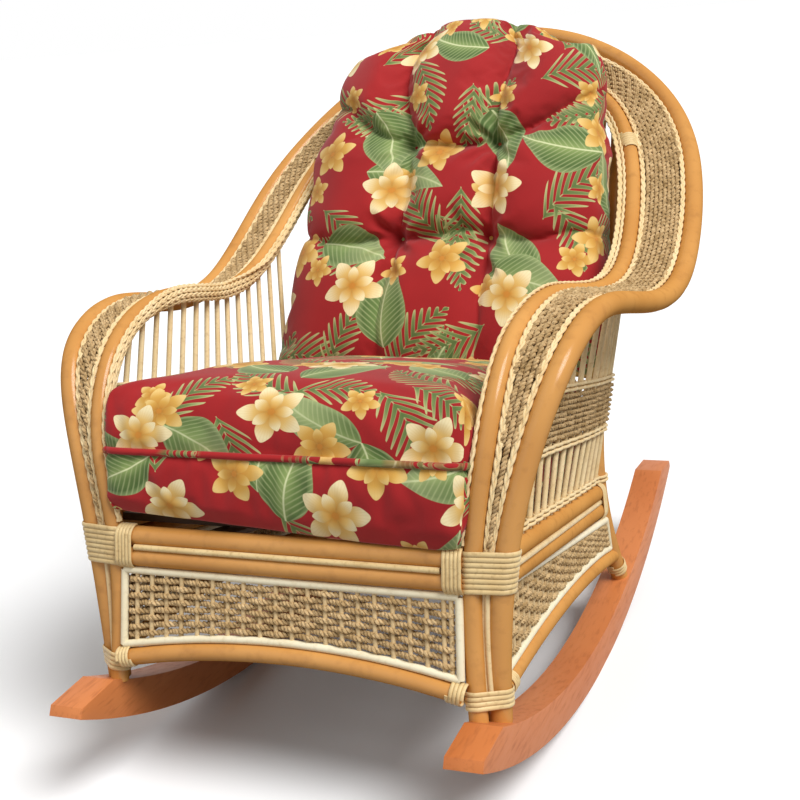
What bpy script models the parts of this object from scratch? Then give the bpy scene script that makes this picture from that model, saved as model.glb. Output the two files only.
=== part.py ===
"""Rattan rocking chair: bent poles on two wooden rockers, woven panels and loose cushions.

Units are metres. The chair is drawn upright, x to its left and right, y from front to back and
z up from the lowest point of the rockers. It is then leant back on its rockers to the angle at
which it comes to rest, and set on the floor with its origin at the bottom centre of its box.
"""

import math

import bmesh
import bpy
import numpy as np
from mathutils import Matrix, Vector

# General
CLEARANCE = 0.0003          # gap between pieces that touch
BEND_CLEARANCE = 0.0009     # gap to bent poles, which are straight between two rings of points
REST_TILT = 12.0            # degrees that the empty chair leans back from upright

# Rockers
ROCKER_RADIUS = 1.20        # of the edge that rolls on the floor
ROCKER_CENTRE_X = 0.267
ROCKER_CENTRE_Y = -0.102    # where the upright chair touches the floor
ROCKER_WIDTH = 0.048
ROCKER_HEIGHT = 0.050
ROCKER_FRONT_ANGLE = 16.4   # degrees of arc before the lowest point
ROCKER_REAR_ANGLE = 39.3    # degrees of arc behind it
ROCKER_FACET = 4.2          # degrees of arc in one flat of the rolling edge
ROCKER_NOSE_LENGTH = 0.065  # sloped part of each end
ROCKER_NOSE_HEIGHT = 0.014  # what the slope leaves at the tip
ROCKER_EDGE = 0.0025        # rounding of the long edges

# Poles
OUTER_RADIUS = 0.015
INNER_RADIUS = 0.012
REAR_LEG_RADIUS = 0.013
RAIL_RADIUS = 0.013
ARCH_RADIUS = 0.0115
POLE_SIDES = 8
RING_STEP = 0.040           # length of pole between two rings of points

# Front legs
LEG_FOOT_X = 0.256
LEG_FOOT_Y = -0.338
LEG_SEAT_X = 0.249
LEG_SEAT_Y = -0.351
LEG_GAP = 0.012             # between the two poles of a leg
LEG_FOOT_TURN = 70.0        # degrees from sideways at which the outer pole stands at the foot
LEG_SEAT_TURN = 16.6        # the same at the seat
FOOT_OVERLENGTH = 0.045     # pole below the rocker's top, before it is cut to fit

# Seat depth, which sets how far back the rear of the frame stands
SEAT_CUSHION_FRONT = -0.384
SEAT_CUSHION_DEPTH = 0.570
SEAT_BACK_ROOM = 0.028      # behind the seat cushion, to the line of the rear legs
REAR_SEAT_Y = SEAT_CUSHION_FRONT + SEAT_CUSHION_DEPTH + SEAT_BACK_ROOM

# Arms and back
ARM_HEIGHT = 0.575          # outer pole's centre at the middle of the arm
ARM_HALF_WIDTH = 0.368      # outer pole's centre at the middle of the arm
ARM_BAND = 0.081            # outer pole to inner pole, across the arm
HOOP_HEIGHT = 1.052         # outer pole's centre at the top
HOOP_DEPTH = REAR_SEAT_Y + 0.316  # outer pole's centre at the top, from the drawing's origin
HOOP_BAND = 0.073           # outer pole to inner pole at the top
SPLICE_HEIGHT = 0.832       # where the inner pole is joined
BAND_SPLIT = 0.50           # share of the outer pole's length where the arm's band ends
BAND_FRONT = 0.006          # woven band in front of the line between the poles
BAND_BACK = 0.002           # and behind it

# Seat frame
FRONT_RAIL_Y = -0.352
FRONT_RAIL_HEIGHT = 0.272
SIDE_RAIL_HEIGHT = 0.279
RAIL_DROP = 0.027           # upper rail to lower rail
SIDE_RAIL_FRONT_X = 0.282
STRIP_RADIUS = 0.004

# Rear legs
REAR_SEAT_X = 0.257
REAR_FOOT_X = 0.274
REAR_FOOT_Y = REAR_SEAT_Y + 0.104
REAR_TOP_HEIGHT = SPLICE_HEIGHT + 0.043

# Aprons below the seat
ARCH_FRONT_HEIGHT = 0.109
ARCH_REAR_LIFT = 0.0385606   # above the rocker at the rear foot
FRONT_ARCH_RISE = 0.024
SIDE_ARCH_RISE = 0.020
FRAME_RADIUS = 0.0045
WEAVE_THICKNESS = 0.008
ARCH_STEPS = 8

# Side and back wicker
SPOKE_RADIUS = 0.004
SPOKE_SIDES = 5
SIDE_SPOKES = 14
BACK_SPOKES = 10
SIDE_BAND_BOTTOM = 0.388
SIDE_BAND_TOP = 0.458
BACK_BAND_BOTTOM = 0.52
BACK_BAND_TOP = 0.64
WICKER_BAND_THICKNESS = 0.011

# Seat deck
SLATS = 6
SLAT_WIDTH = 0.030
SLAT_THICKNESS = 0.010
RUNNER_RADIUS = 0.010
RUNNER_X = 0.110

# Bindings of flat rattan peel
PEEL_WIDTH = 0.0066
PEEL_THICKNESS = 0.0022
PEEL_GAP = 0.0007           # between neighbouring turns
PEEL_CLEARANCE = 0.0014     # from a pair of poles, which lean apart under the binding
PEEL_STEPS = 12             # points in a turn
SEAT_BINDING_BOTTOM = 0.229
SEAT_BINDING_TURNS = 8
RAIL_BINDING_TURNS = 3
FOOT_BINDING_TURNS = 4
FOOT_BINDING_LIFT = 0.012   # above the rocker
REAR_BINDING_TURNS = 3
REAR_BINDING_LIFT = 0.006

# Dowels between legs and rockers
DOWEL_RADIUS = 0.005
DOWEL_LENGTH = 0.056
DOWEL_SIDES = 8

# Seat cushion
SEAT_CUSHION_HALF_WIDTH = 0.251
SEAT_CUSHION_EDGE = 0.165   # thickness at the edge
SEAT_CUSHION_CROWN = 0.030  # more in the middle
SEAT_CUSHION_CELLS = (14, 14, 4)

# Back cushion
BACK_CUSHION_TOP = 1.056
BACK_CUSHION_THICKNESS = 0.128
BACK_CUSHION_CROWN = 0.022
BACK_CUSHION_HALF_WIDTH = 0.262
BACK_CUSHION_GAP = 0.004    # to the spokes and the inner pole
BACK_CUSHION_SEAT_GAP = 0.0030  # to the seat cushion below
TUFT_ACROSS = 1 / 3          # share of the half width
TUFT_HEIGHTS = (0.35, 0.60)  # shares of the cushion's height
TUFT_DEPTH = 0.034
CREASE_DEPTH = 0.012
CREASE_WIDTH = 0.034
BACK_CUSHION_CELLS = (18, 20, 3)
BUTTON_RADIUS = 0.011
BUTTON_HEIGHT = 0.008
BUTTON_STAND = 0.0112       # from the bottom of the tuft to the button's middle


# Materials

def make_material(name, colour, roughness):
    material = bpy.data.materials.new(name)
    material.use_nodes = True
    shader = material.node_tree.nodes["Principled BSDF"]
    shader.inputs["Base Color"].default_value = (*colour, 1.0)
    shader.inputs["Roughness"].default_value = roughness
    shader.inputs["Metallic"].default_value = 0.0
    return material


# Curves and solids

def smooth(points, step):
    """Evenly spaced points on the natural cubic spline through the given ones."""
    knots = np.array(points, float)
    gaps = np.linalg.norm(np.diff(knots, axis=0), axis=1)
    where = np.concatenate([[0.0], np.cumsum(gaps)])
    count = len(knots)
    system = np.eye(count)
    right = np.zeros((count, 3))
    for i in range(1, count - 1):
        system[i, i - 1:i + 2] = gaps[i - 1], 2 * (gaps[i - 1] + gaps[i]), gaps[i]
        slopes = (knots[i + 1] - knots[i]) / gaps[i] - (knots[i] - knots[i - 1]) / gaps[i - 1]
        right[i] = 6 * slopes
    bends = np.linalg.solve(system, right)
    fine = np.linspace(0, where[-1], 60 * count)
    cell = np.clip(np.searchsorted(where, fine, side="right") - 1, 0, count - 2)
    width = gaps[cell][:, None]
    ahead = (where[cell + 1] - fine)[:, None]
    behind = (fine - where[cell])[:, None]
    curve = (bends[cell] * ahead ** 3 + bends[cell + 1] * behind ** 3) / (6 * width)
    curve += (knots[cell] / width - bends[cell] * width / 6) * ahead
    curve += (knots[cell + 1] / width - bends[cell + 1] * width / 6) * behind
    return spaced(curve, step)


def spaced(curve, step):
    """The same line as points about one step apart."""
    lengths = np.concatenate([[0.0], np.cumsum(np.linalg.norm(np.diff(curve, axis=0), axis=1))])
    count = max(2, round(lengths[-1] / step) + 1)
    at = np.linspace(0, lengths[-1], count)
    return np.stack([np.interp(at, lengths, curve[:, i]) for i in range(3)], axis=1)


def tangents(path):
    path = np.array(path, float)
    along = np.gradient(path, axis=0, edge_order=min(2, len(path) - 1))
    return along / np.linalg.norm(along, axis=1)[:, None]


def tube_rings(path, radius, sides, end=None):
    """Circles of points square to a path, turned as little as possible from one to the next."""
    along = tangents(path)
    if end is not None:
        along[-1] = end
    helper = np.eye(3)[np.argmin(np.abs(along[0]))]
    across = np.cross(along[0], helper)
    rings = []
    for point, ahead in zip(path, along):
        across = across - ahead * (across @ ahead)
        across /= np.linalg.norm(across)
        other = np.cross(ahead, across)
        turns = [2 * math.pi * i / sides for i in range(sides)]
        rings.append([point + radius * (math.cos(a) * across + math.sin(a) * other) for a in turns])
    return rings


def loft_into(mesh, rings, closed=False):
    """Adds the skin through rings of points, with a cap at each end unless it closes on itself."""
    loops = [[mesh.verts.new(point) for point in ring] for ring in rings]
    following = loops[1:] + loops[:1] if closed else loops[1:]
    for near, far in zip(loops, following):
        for i in range(len(near)):
            mesh.faces.new((near[i - 1], near[i], far[i], far[i - 1]))
    if not closed:
        mesh.faces.new(loops[0])
        mesh.faces.new(loops[-1])


class Chair:
    """Collects the chair's pieces under one empty, which leans them back together."""

    def __init__(self):
        self.root = bpy.data.objects.new("chair", None)
        bpy.context.scene.collection.objects.link(self.root)
        self.pieces = {}

    def add(self, name, mesh, material, smooth_angle=40):
        bmesh.ops.recalc_face_normals(mesh, faces=mesh.faces)
        data = bpy.data.meshes.new(name)
        mesh.to_mesh(data)
        mesh.free()
        data.shade_smooth()
        data.set_sharp_from_angle(angle=math.radians(smooth_angle))
        data.materials.append(material)
        piece = bpy.data.objects.new(name, data)
        piece.parent = self.root
        bpy.context.scene.collection.objects.link(piece)
        self.pieces[name] = piece
        return piece

    def loft(self, name, rings, material, closed=False):
        mesh = bmesh.new()
        loft_into(mesh, rings, closed)
        return self.add(name, mesh, material)

    def pole(self, name, path, radius, material, sides=POLE_SIDES, end=None):
        return self.loft(name, tube_rings(path, radius, sides, end), material)

    def cutter(self, name, mesh):
        piece = self.add(name, mesh, bpy.data.materials.get("dowel"))
        piece.hide_render = True
        piece.display_type = "WIRE"
        return piece


def combine(piece, other, operation):
    modifier = piece.modifiers.new(other.name, "BOOLEAN")
    modifier.operation = operation
    modifier.object = other


def mirrored(points, side):
    return np.array(points, float) * (side, 1, 1)


def lerp(a, b, share):
    return np.array(a, float) * (1 - share) + np.array(b, float) * share


# Routes of the bent poles, on the right-hand side

def inner_seat_point():
    return (LEG_SEAT_X, LEG_SEAT_Y, seat_binding_top())


def seat_binding_top():
    return SEAT_BINDING_BOTTOM + SEAT_BINDING_TURNS * (PEEL_WIDTH + PEEL_GAP)


def leg_pitch():
    return INNER_RADIUS + OUTER_RADIUS + LEG_GAP


def beside(point, turn):
    """Where the outer pole stands beside a point of the inner one."""
    x, y, z = point
    angle = math.radians(turn)
    return (x + leg_pitch() * math.cos(angle), y + leg_pitch() * math.sin(angle), z)


def rocker_top(y):
    inner = ROCKER_RADIUS - ROCKER_HEIGHT
    return ROCKER_RADIUS - math.sqrt(inner ** 2 - (y - ROCKER_CENTRE_Y) ** 2)


def foot_height(y):
    return rocker_top(y) - FOOT_OVERLENGTH


def arch_rear_height():
    return rocker_top(REAR_FOOT_Y) + ARCH_REAR_LIFT


def inner_route():
    """Inner pole from its foot over the arm to the top of the back."""
    foot = (LEG_FOOT_X, LEG_FOOT_Y, foot_height(LEG_FOOT_Y))
    inner = ARM_HALF_WIDTH - ARM_BAND
    top = HOOP_HEIGHT - HOOP_BAND
    bends = [
        (inner - 0.023, LEG_SEAT_Y - 0.006, ARM_HEIGHT - 0.175),
        (inner - 0.013, LEG_SEAT_Y + 0.043, ARM_HEIGHT - 0.062),
        (inner - 0.005, LEG_SEAT_Y + 0.151, ARM_HEIGHT - 0.001),
        (inner + 0.001, LEG_SEAT_Y + 0.269, ARM_HEIGHT + 0.013),
        (inner + 0.017, HOOP_DEPTH - 0.477, ARM_HEIGHT + 0.020),
        (inner + 0.022, HOOP_DEPTH - 0.375, ARM_HEIGHT + 0.053),
        (inner + 0.014, HOOP_DEPTH - 0.275, top - 0.271),
        (inner - 0.004, HOOP_DEPTH - 0.198, top - 0.182),
        (inner - 0.054, HOOP_DEPTH - 0.110, top - 0.085),
        (inner - 0.151, HOOP_DEPTH - 0.035, top - 0.019),
        (0.0, HOOP_DEPTH - 0.011, top),
        (-(inner - 0.151), HOOP_DEPTH - 0.035, top - 0.019),
    ]
    return foot, inner_seat_point(), bends


def outer_route():
    """Outer pole from its foot over the arm to the top of the back."""
    foot = beside((LEG_FOOT_X, LEG_FOOT_Y, 0.0), LEG_FOOT_TURN)
    foot = (foot[0], foot[1], foot_height(foot[1]))
    seat = beside(inner_seat_point(), LEG_SEAT_TURN)
    outer = ARM_HALF_WIDTH
    top = HOOP_HEIGHT
    bends = [
        (outer - 0.057, LEG_SEAT_Y + 0.013, ARM_HEIGHT - 0.177),
        (outer - 0.027, LEG_SEAT_Y + 0.047, ARM_HEIGHT - 0.074),
        (outer - 0.011, LEG_SEAT_Y + 0.143, ARM_HEIGHT - 0.013),
        (outer, LEG_SEAT_Y + 0.255, ARM_HEIGHT),
        (outer + 0.014, HOOP_DEPTH - 0.492, ARM_HEIGHT + 0.002),
        (outer + 0.024, HOOP_DEPTH - 0.361, ARM_HEIGHT + 0.034),
        (outer + 0.022, HOOP_DEPTH - 0.255, top - 0.362),
        (outer + 0.008, HOOP_DEPTH - 0.173, top - 0.273),
        (outer - 0.028, HOOP_DEPTH - 0.090, top - 0.181),
        (outer - 0.104, HOOP_DEPTH - 0.028, top - 0.090),
        (outer - 0.216, HOOP_DEPTH - 0.004, top - 0.024),
        (0.0, HOOP_DEPTH, top),
        (-(outer - 0.216), HOOP_DEPTH - 0.004, top - 0.024),
    ]
    return foot, seat, bends


def half_of(route, step=0.004):
    """The route as close points that end at the chair's middle."""
    foot, seat, bends = route
    path = smooth([foot, seat, *bends], step)
    inside = path[path[:, 0] > CLEARANCE / 2]
    end = path[len(inside)]
    share = (inside[-1][0] - CLEARANCE / 2) / (inside[-1][0] - end[0])
    return np.vstack([inside, lerp(inside[-1], end, share)])


def at_height(path, height):
    """The first point where a path climbs past a height."""
    i = int(np.argmax(path[:, 2] >= height))
    low, high = path[max(i - 1, 0)], path[i]
    share = (height - low[2]) / max(high[2] - low[2], 1e-9)
    return lerp(low, high, min(max(share, 0.0), 1.0))


def part_of(path, low=None, high=None):
    """The stretch of a path between two points on it."""
    start = 0 if low is None else int(np.argmin(np.linalg.norm(path - low, axis=1)))
    stop = len(path) - 1 if high is None else int(np.argmin(np.linalg.norm(path - high, axis=1)))
    return path[start:stop + 1]


def short_of(start, path, i, radius, own_radius):
    """The end of a straight pole from start that butts on a path's point without cutting into it."""
    aim = path[i] - start
    aim /= np.linalg.norm(aim)
    lean = abs(aim @ tangents(path)[i])
    square = math.sqrt(1 - lean ** 2)
    return path[i] - aim * ((radius + own_radius * lean) / square + BEND_CLEARANCE + CLEARANCE)


def binding_reach(radius, clearance=PEEL_CLEARANCE):
    """From a pole's centre to clear of the peel wound round it."""
    wound = (radius + clearance + PEEL_THICKNESS / 2) / math.cos(math.pi / PEEL_STEPS)
    return wound + PEEL_THICKNESS / 2 + CLEARANCE


def rear_leg_route(inner):
    """Rear leg from its foot past the seat to the underside of the inner pole."""
    half = len(inner) // 2
    top = half + int(np.argmax(inner[half:, 2] >= REAR_TOP_HEIGHT))
    joint = inner[top]
    seat = np.array((REAR_SEAT_X, REAR_SEAT_Y, SIDE_RAIL_HEIGHT))
    foot = np.array((REAR_FOOT_X, REAR_FOOT_Y, rocker_top(REAR_FOOT_Y)))
    below = foot + (foot - seat) * FOOT_OVERLENGTH / np.linalg.norm(foot - seat)
    middle = lerp(seat, joint, 0.5) + (0.002, -0.006, 0.0)
    end = joint - (joint - middle) * INNER_RADIUS / 2 / np.linalg.norm(joint - middle)
    return smooth([below, foot, lerp(foot, seat, 0.55), lerp(seat, middle, 0.12), middle, end], 0.004)


# Rockers and dowels

def rocker_angles():
    """Ends of the flats, one of which lies on the floor at rest."""
    step = math.radians(ROCKER_FACET)
    middle = math.radians(REST_TILT)
    front = -math.radians(ROCKER_FRONT_ANGLE)
    rear = math.radians(ROCKER_REAR_ANGLE)
    first = math.ceil((front - middle) / step - 0.5)
    last = math.floor((rear - middle) / step - 0.5)
    inside = [middle + (i + 0.5) * step for i in range(first, last + 1)]
    inside = [a for a in inside if front + step / 4 < a < rear - step / 4]
    return [front, *inside, rear]


def arc_point(angle, radius):
    y = ROCKER_CENTRE_Y + radius * math.sin(angle)
    return (y, ROCKER_RADIUS - radius * math.cos(angle))


def extruded(outline, low, high):
    """A prism from a (y, z) outline between two x planes."""
    mesh = bmesh.new()
    face = mesh.faces.new([mesh.verts.new((low, y, z)) for y, z in outline])
    pushed = bmesh.ops.extrude_face_region(mesh, geom=[face])
    moved = [v for v in pushed["geom"] if isinstance(v, bmesh.types.BMVert)]
    bmesh.ops.translate(mesh, verts=moved, vec=(high - low, 0, 0))
    return mesh


def add_rocker(chair, name, side, material):
    angles = rocker_angles()
    nose = ROCKER_NOSE_LENGTH / ROCKER_RADIUS
    top = ROCKER_RADIUS - ROCKER_HEIGHT
    tip = ROCKER_RADIUS - ROCKER_NOSE_HEIGHT
    inside = [a for a in angles if angles[0] + nose * 1.1 < a < angles[-1] - nose * 1.1]
    outline = [arc_point(a, ROCKER_RADIUS) for a in angles]
    outline += [arc_point(angles[-1], tip), arc_point(angles[-1] - nose, top)]
    outline += [arc_point(a, top) for a in reversed(inside)]
    outline += [arc_point(angles[0] + nose, top), arc_point(angles[0], tip)]
    middle = side * ROCKER_CENTRE_X
    piece = chair.add(name, extruded(outline, middle - ROCKER_WIDTH / 2, middle + ROCKER_WIDTH / 2), material)
    rounding = piece.modifiers.new("rounding", "BEVEL")
    rounding.width = ROCKER_EDGE
    rounding.segments = 1
    rounding.limit_method = "ANGLE"
    rounding.angle_limit = math.radians(60)
    return piece


def add_rocker_top_cutter(chair):
    """The space below the rockers' top, which cuts the legs to fit."""
    angles = rocker_angles()
    fitted = ROCKER_RADIUS - ROCKER_HEIGHT - CLEARANCE
    below = ROCKER_RADIUS + FOOT_OVERLENGTH
    outline = [arc_point(a, below) for a in angles] + [arc_point(a, fitted) for a in reversed(angles)]
    reach = ROCKER_CENTRE_X + 2 * ROCKER_WIDTH
    return chair.cutter("rocker_top_cutter", extruded(outline, -reach, reach))


def cylinder(middle, direction, radius, length, sides):
    direction = np.array(direction) / np.linalg.norm(direction)
    ends = [middle - direction * length / 2, middle + direction * length / 2]
    mesh = bmesh.new()
    loft_into(mesh, tube_rings(np.array(ends), radius, sides))
    return mesh


def add_dowel(chair, name, path, leg, rocker, material):
    """A dowel along the leg's foot, half in the rocker, with a bore for it in both."""
    heights = np.array([p[2] - rocker_top(p[1]) for p in path[:len(path) // 3]])
    i = int(np.argmin(np.abs(heights)))
    direction = path[i + 4] - path[max(i - 4, 0)]
    chair.add(name, cylinder(path[i], direction, DOWEL_RADIUS, DOWEL_LENGTH, DOWEL_SIDES), material)
    bore = cylinder(path[i], direction, DOWEL_RADIUS + CLEARANCE, DOWEL_LENGTH + 2 * CLEARANCE, DOWEL_SIDES)
    cutter = chair.cutter(name + "_bore", bore)
    combine(leg, cutter, "DIFFERENCE")
    combine(rocker, cutter, "DIFFERENCE")


# Bindings

def support(circles, angle):
    """Outermost point of some circles in a direction."""
    ahead = np.array((math.cos(angle), math.sin(angle)))
    spots = [np.array((u, v)) + radius * ahead for u, v, radius in circles]
    return max(spots, key=lambda spot: spot @ ahead), ahead


def add_binding(chair, name, circles_at, frame, start, turns, material, clearance=PEEL_CLEARANCE):
    """Flat peel wound round poles. circles_at gives the poles' sections at a distance along the axis."""
    origin, first, second, axis = (np.array(v, float) for v in frame)
    pitch = PEEL_WIDTH + PEEL_GAP
    stand_off = clearance + PEEL_THICKNESS / 2
    widen = 1 / math.cos(math.pi / PEEL_STEPS)
    rings, middles = [], []
    for i in range(turns * PEEL_STEPS - PEEL_STEPS + 1):
        angle = 2 * math.pi * i / PEEL_STEPS
        along = start + PEEL_WIDTH / 2 + pitch * i / PEEL_STEPS
        circles = [(u, v, (radius + stand_off) * widen) for u, v, radius in circles_at(along)]
        (u, v), (du, dv) = support(circles, angle)
        middle = origin + first * u + second * v + axis * along
        out = first * du + second * dv
        middles.append(middle)
        rings.append([
            middle + out * half + axis * edge
            for half, edge in (
                (PEEL_THICKNESS / 2, PEEL_WIDTH / 3), (PEEL_THICKNESS / 2, -PEEL_WIDTH / 3),
                (-PEEL_THICKNESS / 2, -PEEL_WIDTH / 2), (-PEEL_THICKNESS / 2, PEEL_WIDTH / 2),
            )
        ])
    steps = np.array(middles)
    least = min(np.linalg.norm(steps[PEEL_STEPS:] - steps[:-PEEL_STEPS], axis=1)) - PEEL_WIDTH
    print(f"{name}: least gap between turns {least * 1000:.2f} mm")
    chair.loft(name, rings, material)


def leg_frame(side):
    return ((0, 0, 0), (side, 0, 0), (0, 1, 0), (0, 0, 1))


def pole_frame(path, middle, side, length):
    """A binding's frame round one pole, centred on a point of its path."""
    i = int(np.argmin(np.linalg.norm(path - middle, axis=1)))
    axis = tangents(path)[i]
    across = np.cross(axis, (0, 1, 0))
    across /= np.linalg.norm(across)
    other = np.cross(axis, across)
    start = path[i] - axis * length / 2
    return [mirrored(v, side) for v in (start, across, other, axis)]


# Woven bands and panels

def band_rings(outer, inner, start, stop, count):
    """Sections of the band between two poles, from one share of the outer path to another."""
    ahead = tangents(outer)
    shares = np.linspace(start, stop, count)
    rings = []
    for share in shares:
        i = min(int(round(share * (len(outer) - 1))), len(outer) - 1)
        out = outer[i]
        near = inner[int(np.argmin(np.linalg.norm(inner - out, axis=1)))]
        across = (near - out) / np.linalg.norm(near - out)
        face = np.cross(ahead[i], across)
        face /= np.linalg.norm(face)
        from_outer = out + across * (OUTER_RADIUS + BEND_CLEARANCE)
        from_inner = near - across * (INNER_RADIUS + BEND_CLEARANCE)
        middle = (from_outer + from_inner) / 2
        rings.append([
            from_outer + face * BAND_FRONT * 0.5, middle + face * BAND_FRONT,
            from_inner + face * BAND_FRONT * 0.5,
            from_inner - face * BAND_BACK, from_outer - face * BAND_BACK,
        ])
    return rings


def outline_mitres(corners, normal):
    """At each corner of a closed flat outline, the step that moves both its edges inwards by one."""
    count = len(corners)
    edges = [corners[(i + 1) % count] - corners[i] for i in range(count)]
    inward = [np.cross(normal, e / np.linalg.norm(e)) for e in edges]
    middle = np.mean(corners, axis=0)
    area = sum(np.cross(corners[i] - middle, edges[i]) @ normal for i in range(count))
    mitres = []
    for i in range(count):
        step = inward[i - 1] + inward[i]
        step /= np.linalg.norm(step)
        mitres.append(math.copysign(1.0, area) * step / max(step @ inward[i], 0.3))
    return mitres


def panel_frame_rings(corners, normal):
    """Mitred hexagon sections along a closed flat outline."""
    turns = [2 * math.pi * j / 6 for j in range(6)]
    return [
        [corner + FRAME_RADIUS * (math.cos(a) * mitre + math.sin(a) * normal) for a in turns]
        for corner, mitre in zip(corners, outline_mitres(corners, normal))
    ]


def inset(corners, normal, distance):
    """A flat outline moved inwards by a distance."""
    return [c + m * distance for c, m in zip(corners, outline_mitres(corners, normal))]


def add_apron(chair, name, outline, normal, frame_material, weave_material):
    """A frame of round reed just inside an outline, and the woven panel that fills it."""
    normal = np.array(normal) / np.linalg.norm(normal)
    centre_line = inset(outline, normal, FRAME_RADIUS + CLEARANCE)
    chair.loft(name + "_frame", panel_frame_rings(centre_line, normal), frame_material, closed=True)
    filled = inset(outline, normal, 2 * FRAME_RADIUS + 2 * CLEARANCE)
    half = normal * WEAVE_THICKNESS / 2
    chair.loft(name + "_weave", [[p - half for p in filled], [p + half for p in filled]], weave_material)


def spokes_and_band(chair, name, feet, heads, low, high, material):
    """Spokes with a woven band round them between two heights, joined into one panel."""
    feet, heads = np.array(feet), np.array(heads)

    def across_at(height):
        shares = (height - feet[:, 2]) / (heads[:, 2] - feet[:, 2])
        return feet + (heads - feet) * shares[:, None]

    spokes = bmesh.new()
    for foot, head in zip(feet, heads):
        loft_into(spokes, tube_rings(np.array([foot, head]), SPOKE_RADIUS, SPOKE_SIDES))
    bottoms, tops = across_at(low), across_at(high)
    row = tangents(bottoms)
    rings = []
    for i in range(0, len(feet)):
        rise = (tops[i] - bottoms[i]) / np.linalg.norm(tops[i] - bottoms[i])
        thick = np.cross(row[i], rise)
        thick *= WICKER_BAND_THICKNESS / 2 / np.linalg.norm(thick)
        past = row[i] * SPOKE_RADIUS * ((i == len(feet) - 1) - (i == 0)) * 2
        bottom, top = bottoms[i] + past, tops[i] + past
        rings.append([bottom - thick, bottom + thick, top + thick, top - thick])
    panel = chair.loft(name, rings, material)
    panel.data.shade_flat()
    joined = chair.cutter(name + "_spokes", spokes)
    combine(panel, joined, "UNION")
    return panel


# Cushions

def box_grid(cells):
    """A two-metre cube cut into cells along x, y and z."""
    mesh = bmesh.new()
    bmesh.ops.create_cube(mesh, size=2.0)
    for axis, count in enumerate(cells):
        edges = [
            e for e in mesh.edges
            if abs((e.verts[0].co - e.verts[1].co)[axis]) > 1.0
        ]
        bmesh.ops.subdivide_edges(mesh, edges=edges, cuts=count - 1, use_grid_fill=True)
    return mesh


def rounded(u, v, power):
    """Moves a point of the unit square onto a square with round corners."""
    size = max(abs(u), abs(v))
    if size < 1e-9:
        return 0.0, 0.0
    length = (abs(u) ** power + abs(v) ** power) ** (1 / power)
    return u * size / length, v * size / length


def seat_cushion_bottom():
    return SIDE_RAIL_HEIGHT + RAIL_RADIUS + CLEARANCE


def seat_cushion_top(across, along):
    """Thickness of the seat cushion at a place from -1 to 1 each way."""
    fall = (1 - abs(across) ** 2.6) * (1 - abs(along) ** 2.6)
    side = max(abs(across), abs(along))
    return SEAT_CUSHION_EDGE + SEAT_CUSHION_CROWN * fall - 0.010 * side ** 10


def seat_cushion_point(u, v, w):
    """A place on the seat cushion from -1 to 1 each way: crowned, with drawn-in sides."""
    across, along = rounded(u, v, 9)
    side = max(abs(across), abs(along))
    pull = 0.016 * abs(w) ** 3 * side ** 6
    middle_pull = 0.008 * (1 - (across if abs(along) > abs(across) else along) ** 2) * side ** 8
    x = across * (SEAT_CUSHION_HALF_WIDTH - pull - middle_pull * (abs(across) >= abs(along)))
    y_half = SEAT_CUSHION_DEPTH / 2
    y = SEAT_CUSHION_FRONT + y_half + along * (y_half - pull - middle_pull * (abs(along) > abs(across)))
    top = seat_cushion_top(across, along)
    bottom = 0.010 * side ** 10
    z = seat_cushion_bottom() + bottom + (top - bottom) * (w + 1) / 2
    return Vector((x, y, z))


def back_lean():
    """Slope of the back behind its cushion, as depth for each unit of height."""
    top = HOOP_HEIGHT - HOOP_BAND
    return (HOOP_DEPTH - 0.110 - REAR_SEAT_Y) / (top - 0.085 - SIDE_RAIL_HEIGHT)


def back_plane(z):
    """Front of the rear legs and spokes at a height, with room to spare."""
    lean = REAR_SEAT_Y + back_lean() * (z - SIDE_RAIL_HEIGHT)
    return lean - REAR_LEG_RADIUS - 0.0095 - BACK_CUSHION_GAP


def back_cushion_bottom():
    return seat_cushion_bottom() + SEAT_CUSHION_EDGE + SEAT_CUSHION_CROWN + BACK_CUSHION_SEAT_GAP


def back_half_width(z, inner):
    """Half width of the back cushion: inside the inner pole, then round over the top."""
    arch = [p for p in inner if p[2] > ARM_HEIGHT + 0.05 and p[0] > 0.0]
    heights = [p[2] for p in arch]
    widths = [p[0] - INNER_RADIUS - BACK_CUSHION_GAP for p in arch]
    hoop = np.interp(z, heights, widths)
    shoulder = HOOP_HEIGHT - 0.19
    span = BACK_CUSHION_TOP - shoulder
    drop = min(max((z - shoulder) / span, 0.0), 1.0)
    at_shoulder = min(BACK_CUSHION_HALF_WIDTH, np.interp(shoulder, heights, widths))
    dome = at_shoulder * (1 - drop ** 2.3) ** (1 / 2.3)
    return min(BACK_CUSHION_HALF_WIDTH, hoop) if z < shoulder else max(dome, 0.0)


def tuft_pull(across, share, half):
    """Depth of the tufts and of the creases that run between them and to the edges."""
    height = BACK_CUSHION_TOP - back_cushion_bottom()
    depth = 0.0
    for column in (-TUFT_ACROSS, TUFT_ACROSS):
        aside = (across - column) * half
        depth = max(depth, CREASE_DEPTH * math.exp(-(2 * aside / CREASE_WIDTH) ** 2))
        for row in TUFT_HEIGHTS:
            above = (share - row) * height
            depth = max(depth, CREASE_DEPTH * math.exp(-(2 * above / CREASE_WIDTH) ** 2))
            depth = max(depth, TUFT_DEPTH * math.exp(-(math.hypot(aside, above) / CREASE_WIDTH) ** 2))
    return depth


def back_cushion_half(share, v, inner):
    """Half width at a share of the height, drawn in at the front and rear seams."""
    bottom = back_cushion_bottom()
    z = bottom + share * (BACK_CUSHION_TOP - bottom)
    return z, back_half_width(min(z, BACK_CUSHION_TOP - 0.02), inner) - 0.010 * v * v


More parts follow.
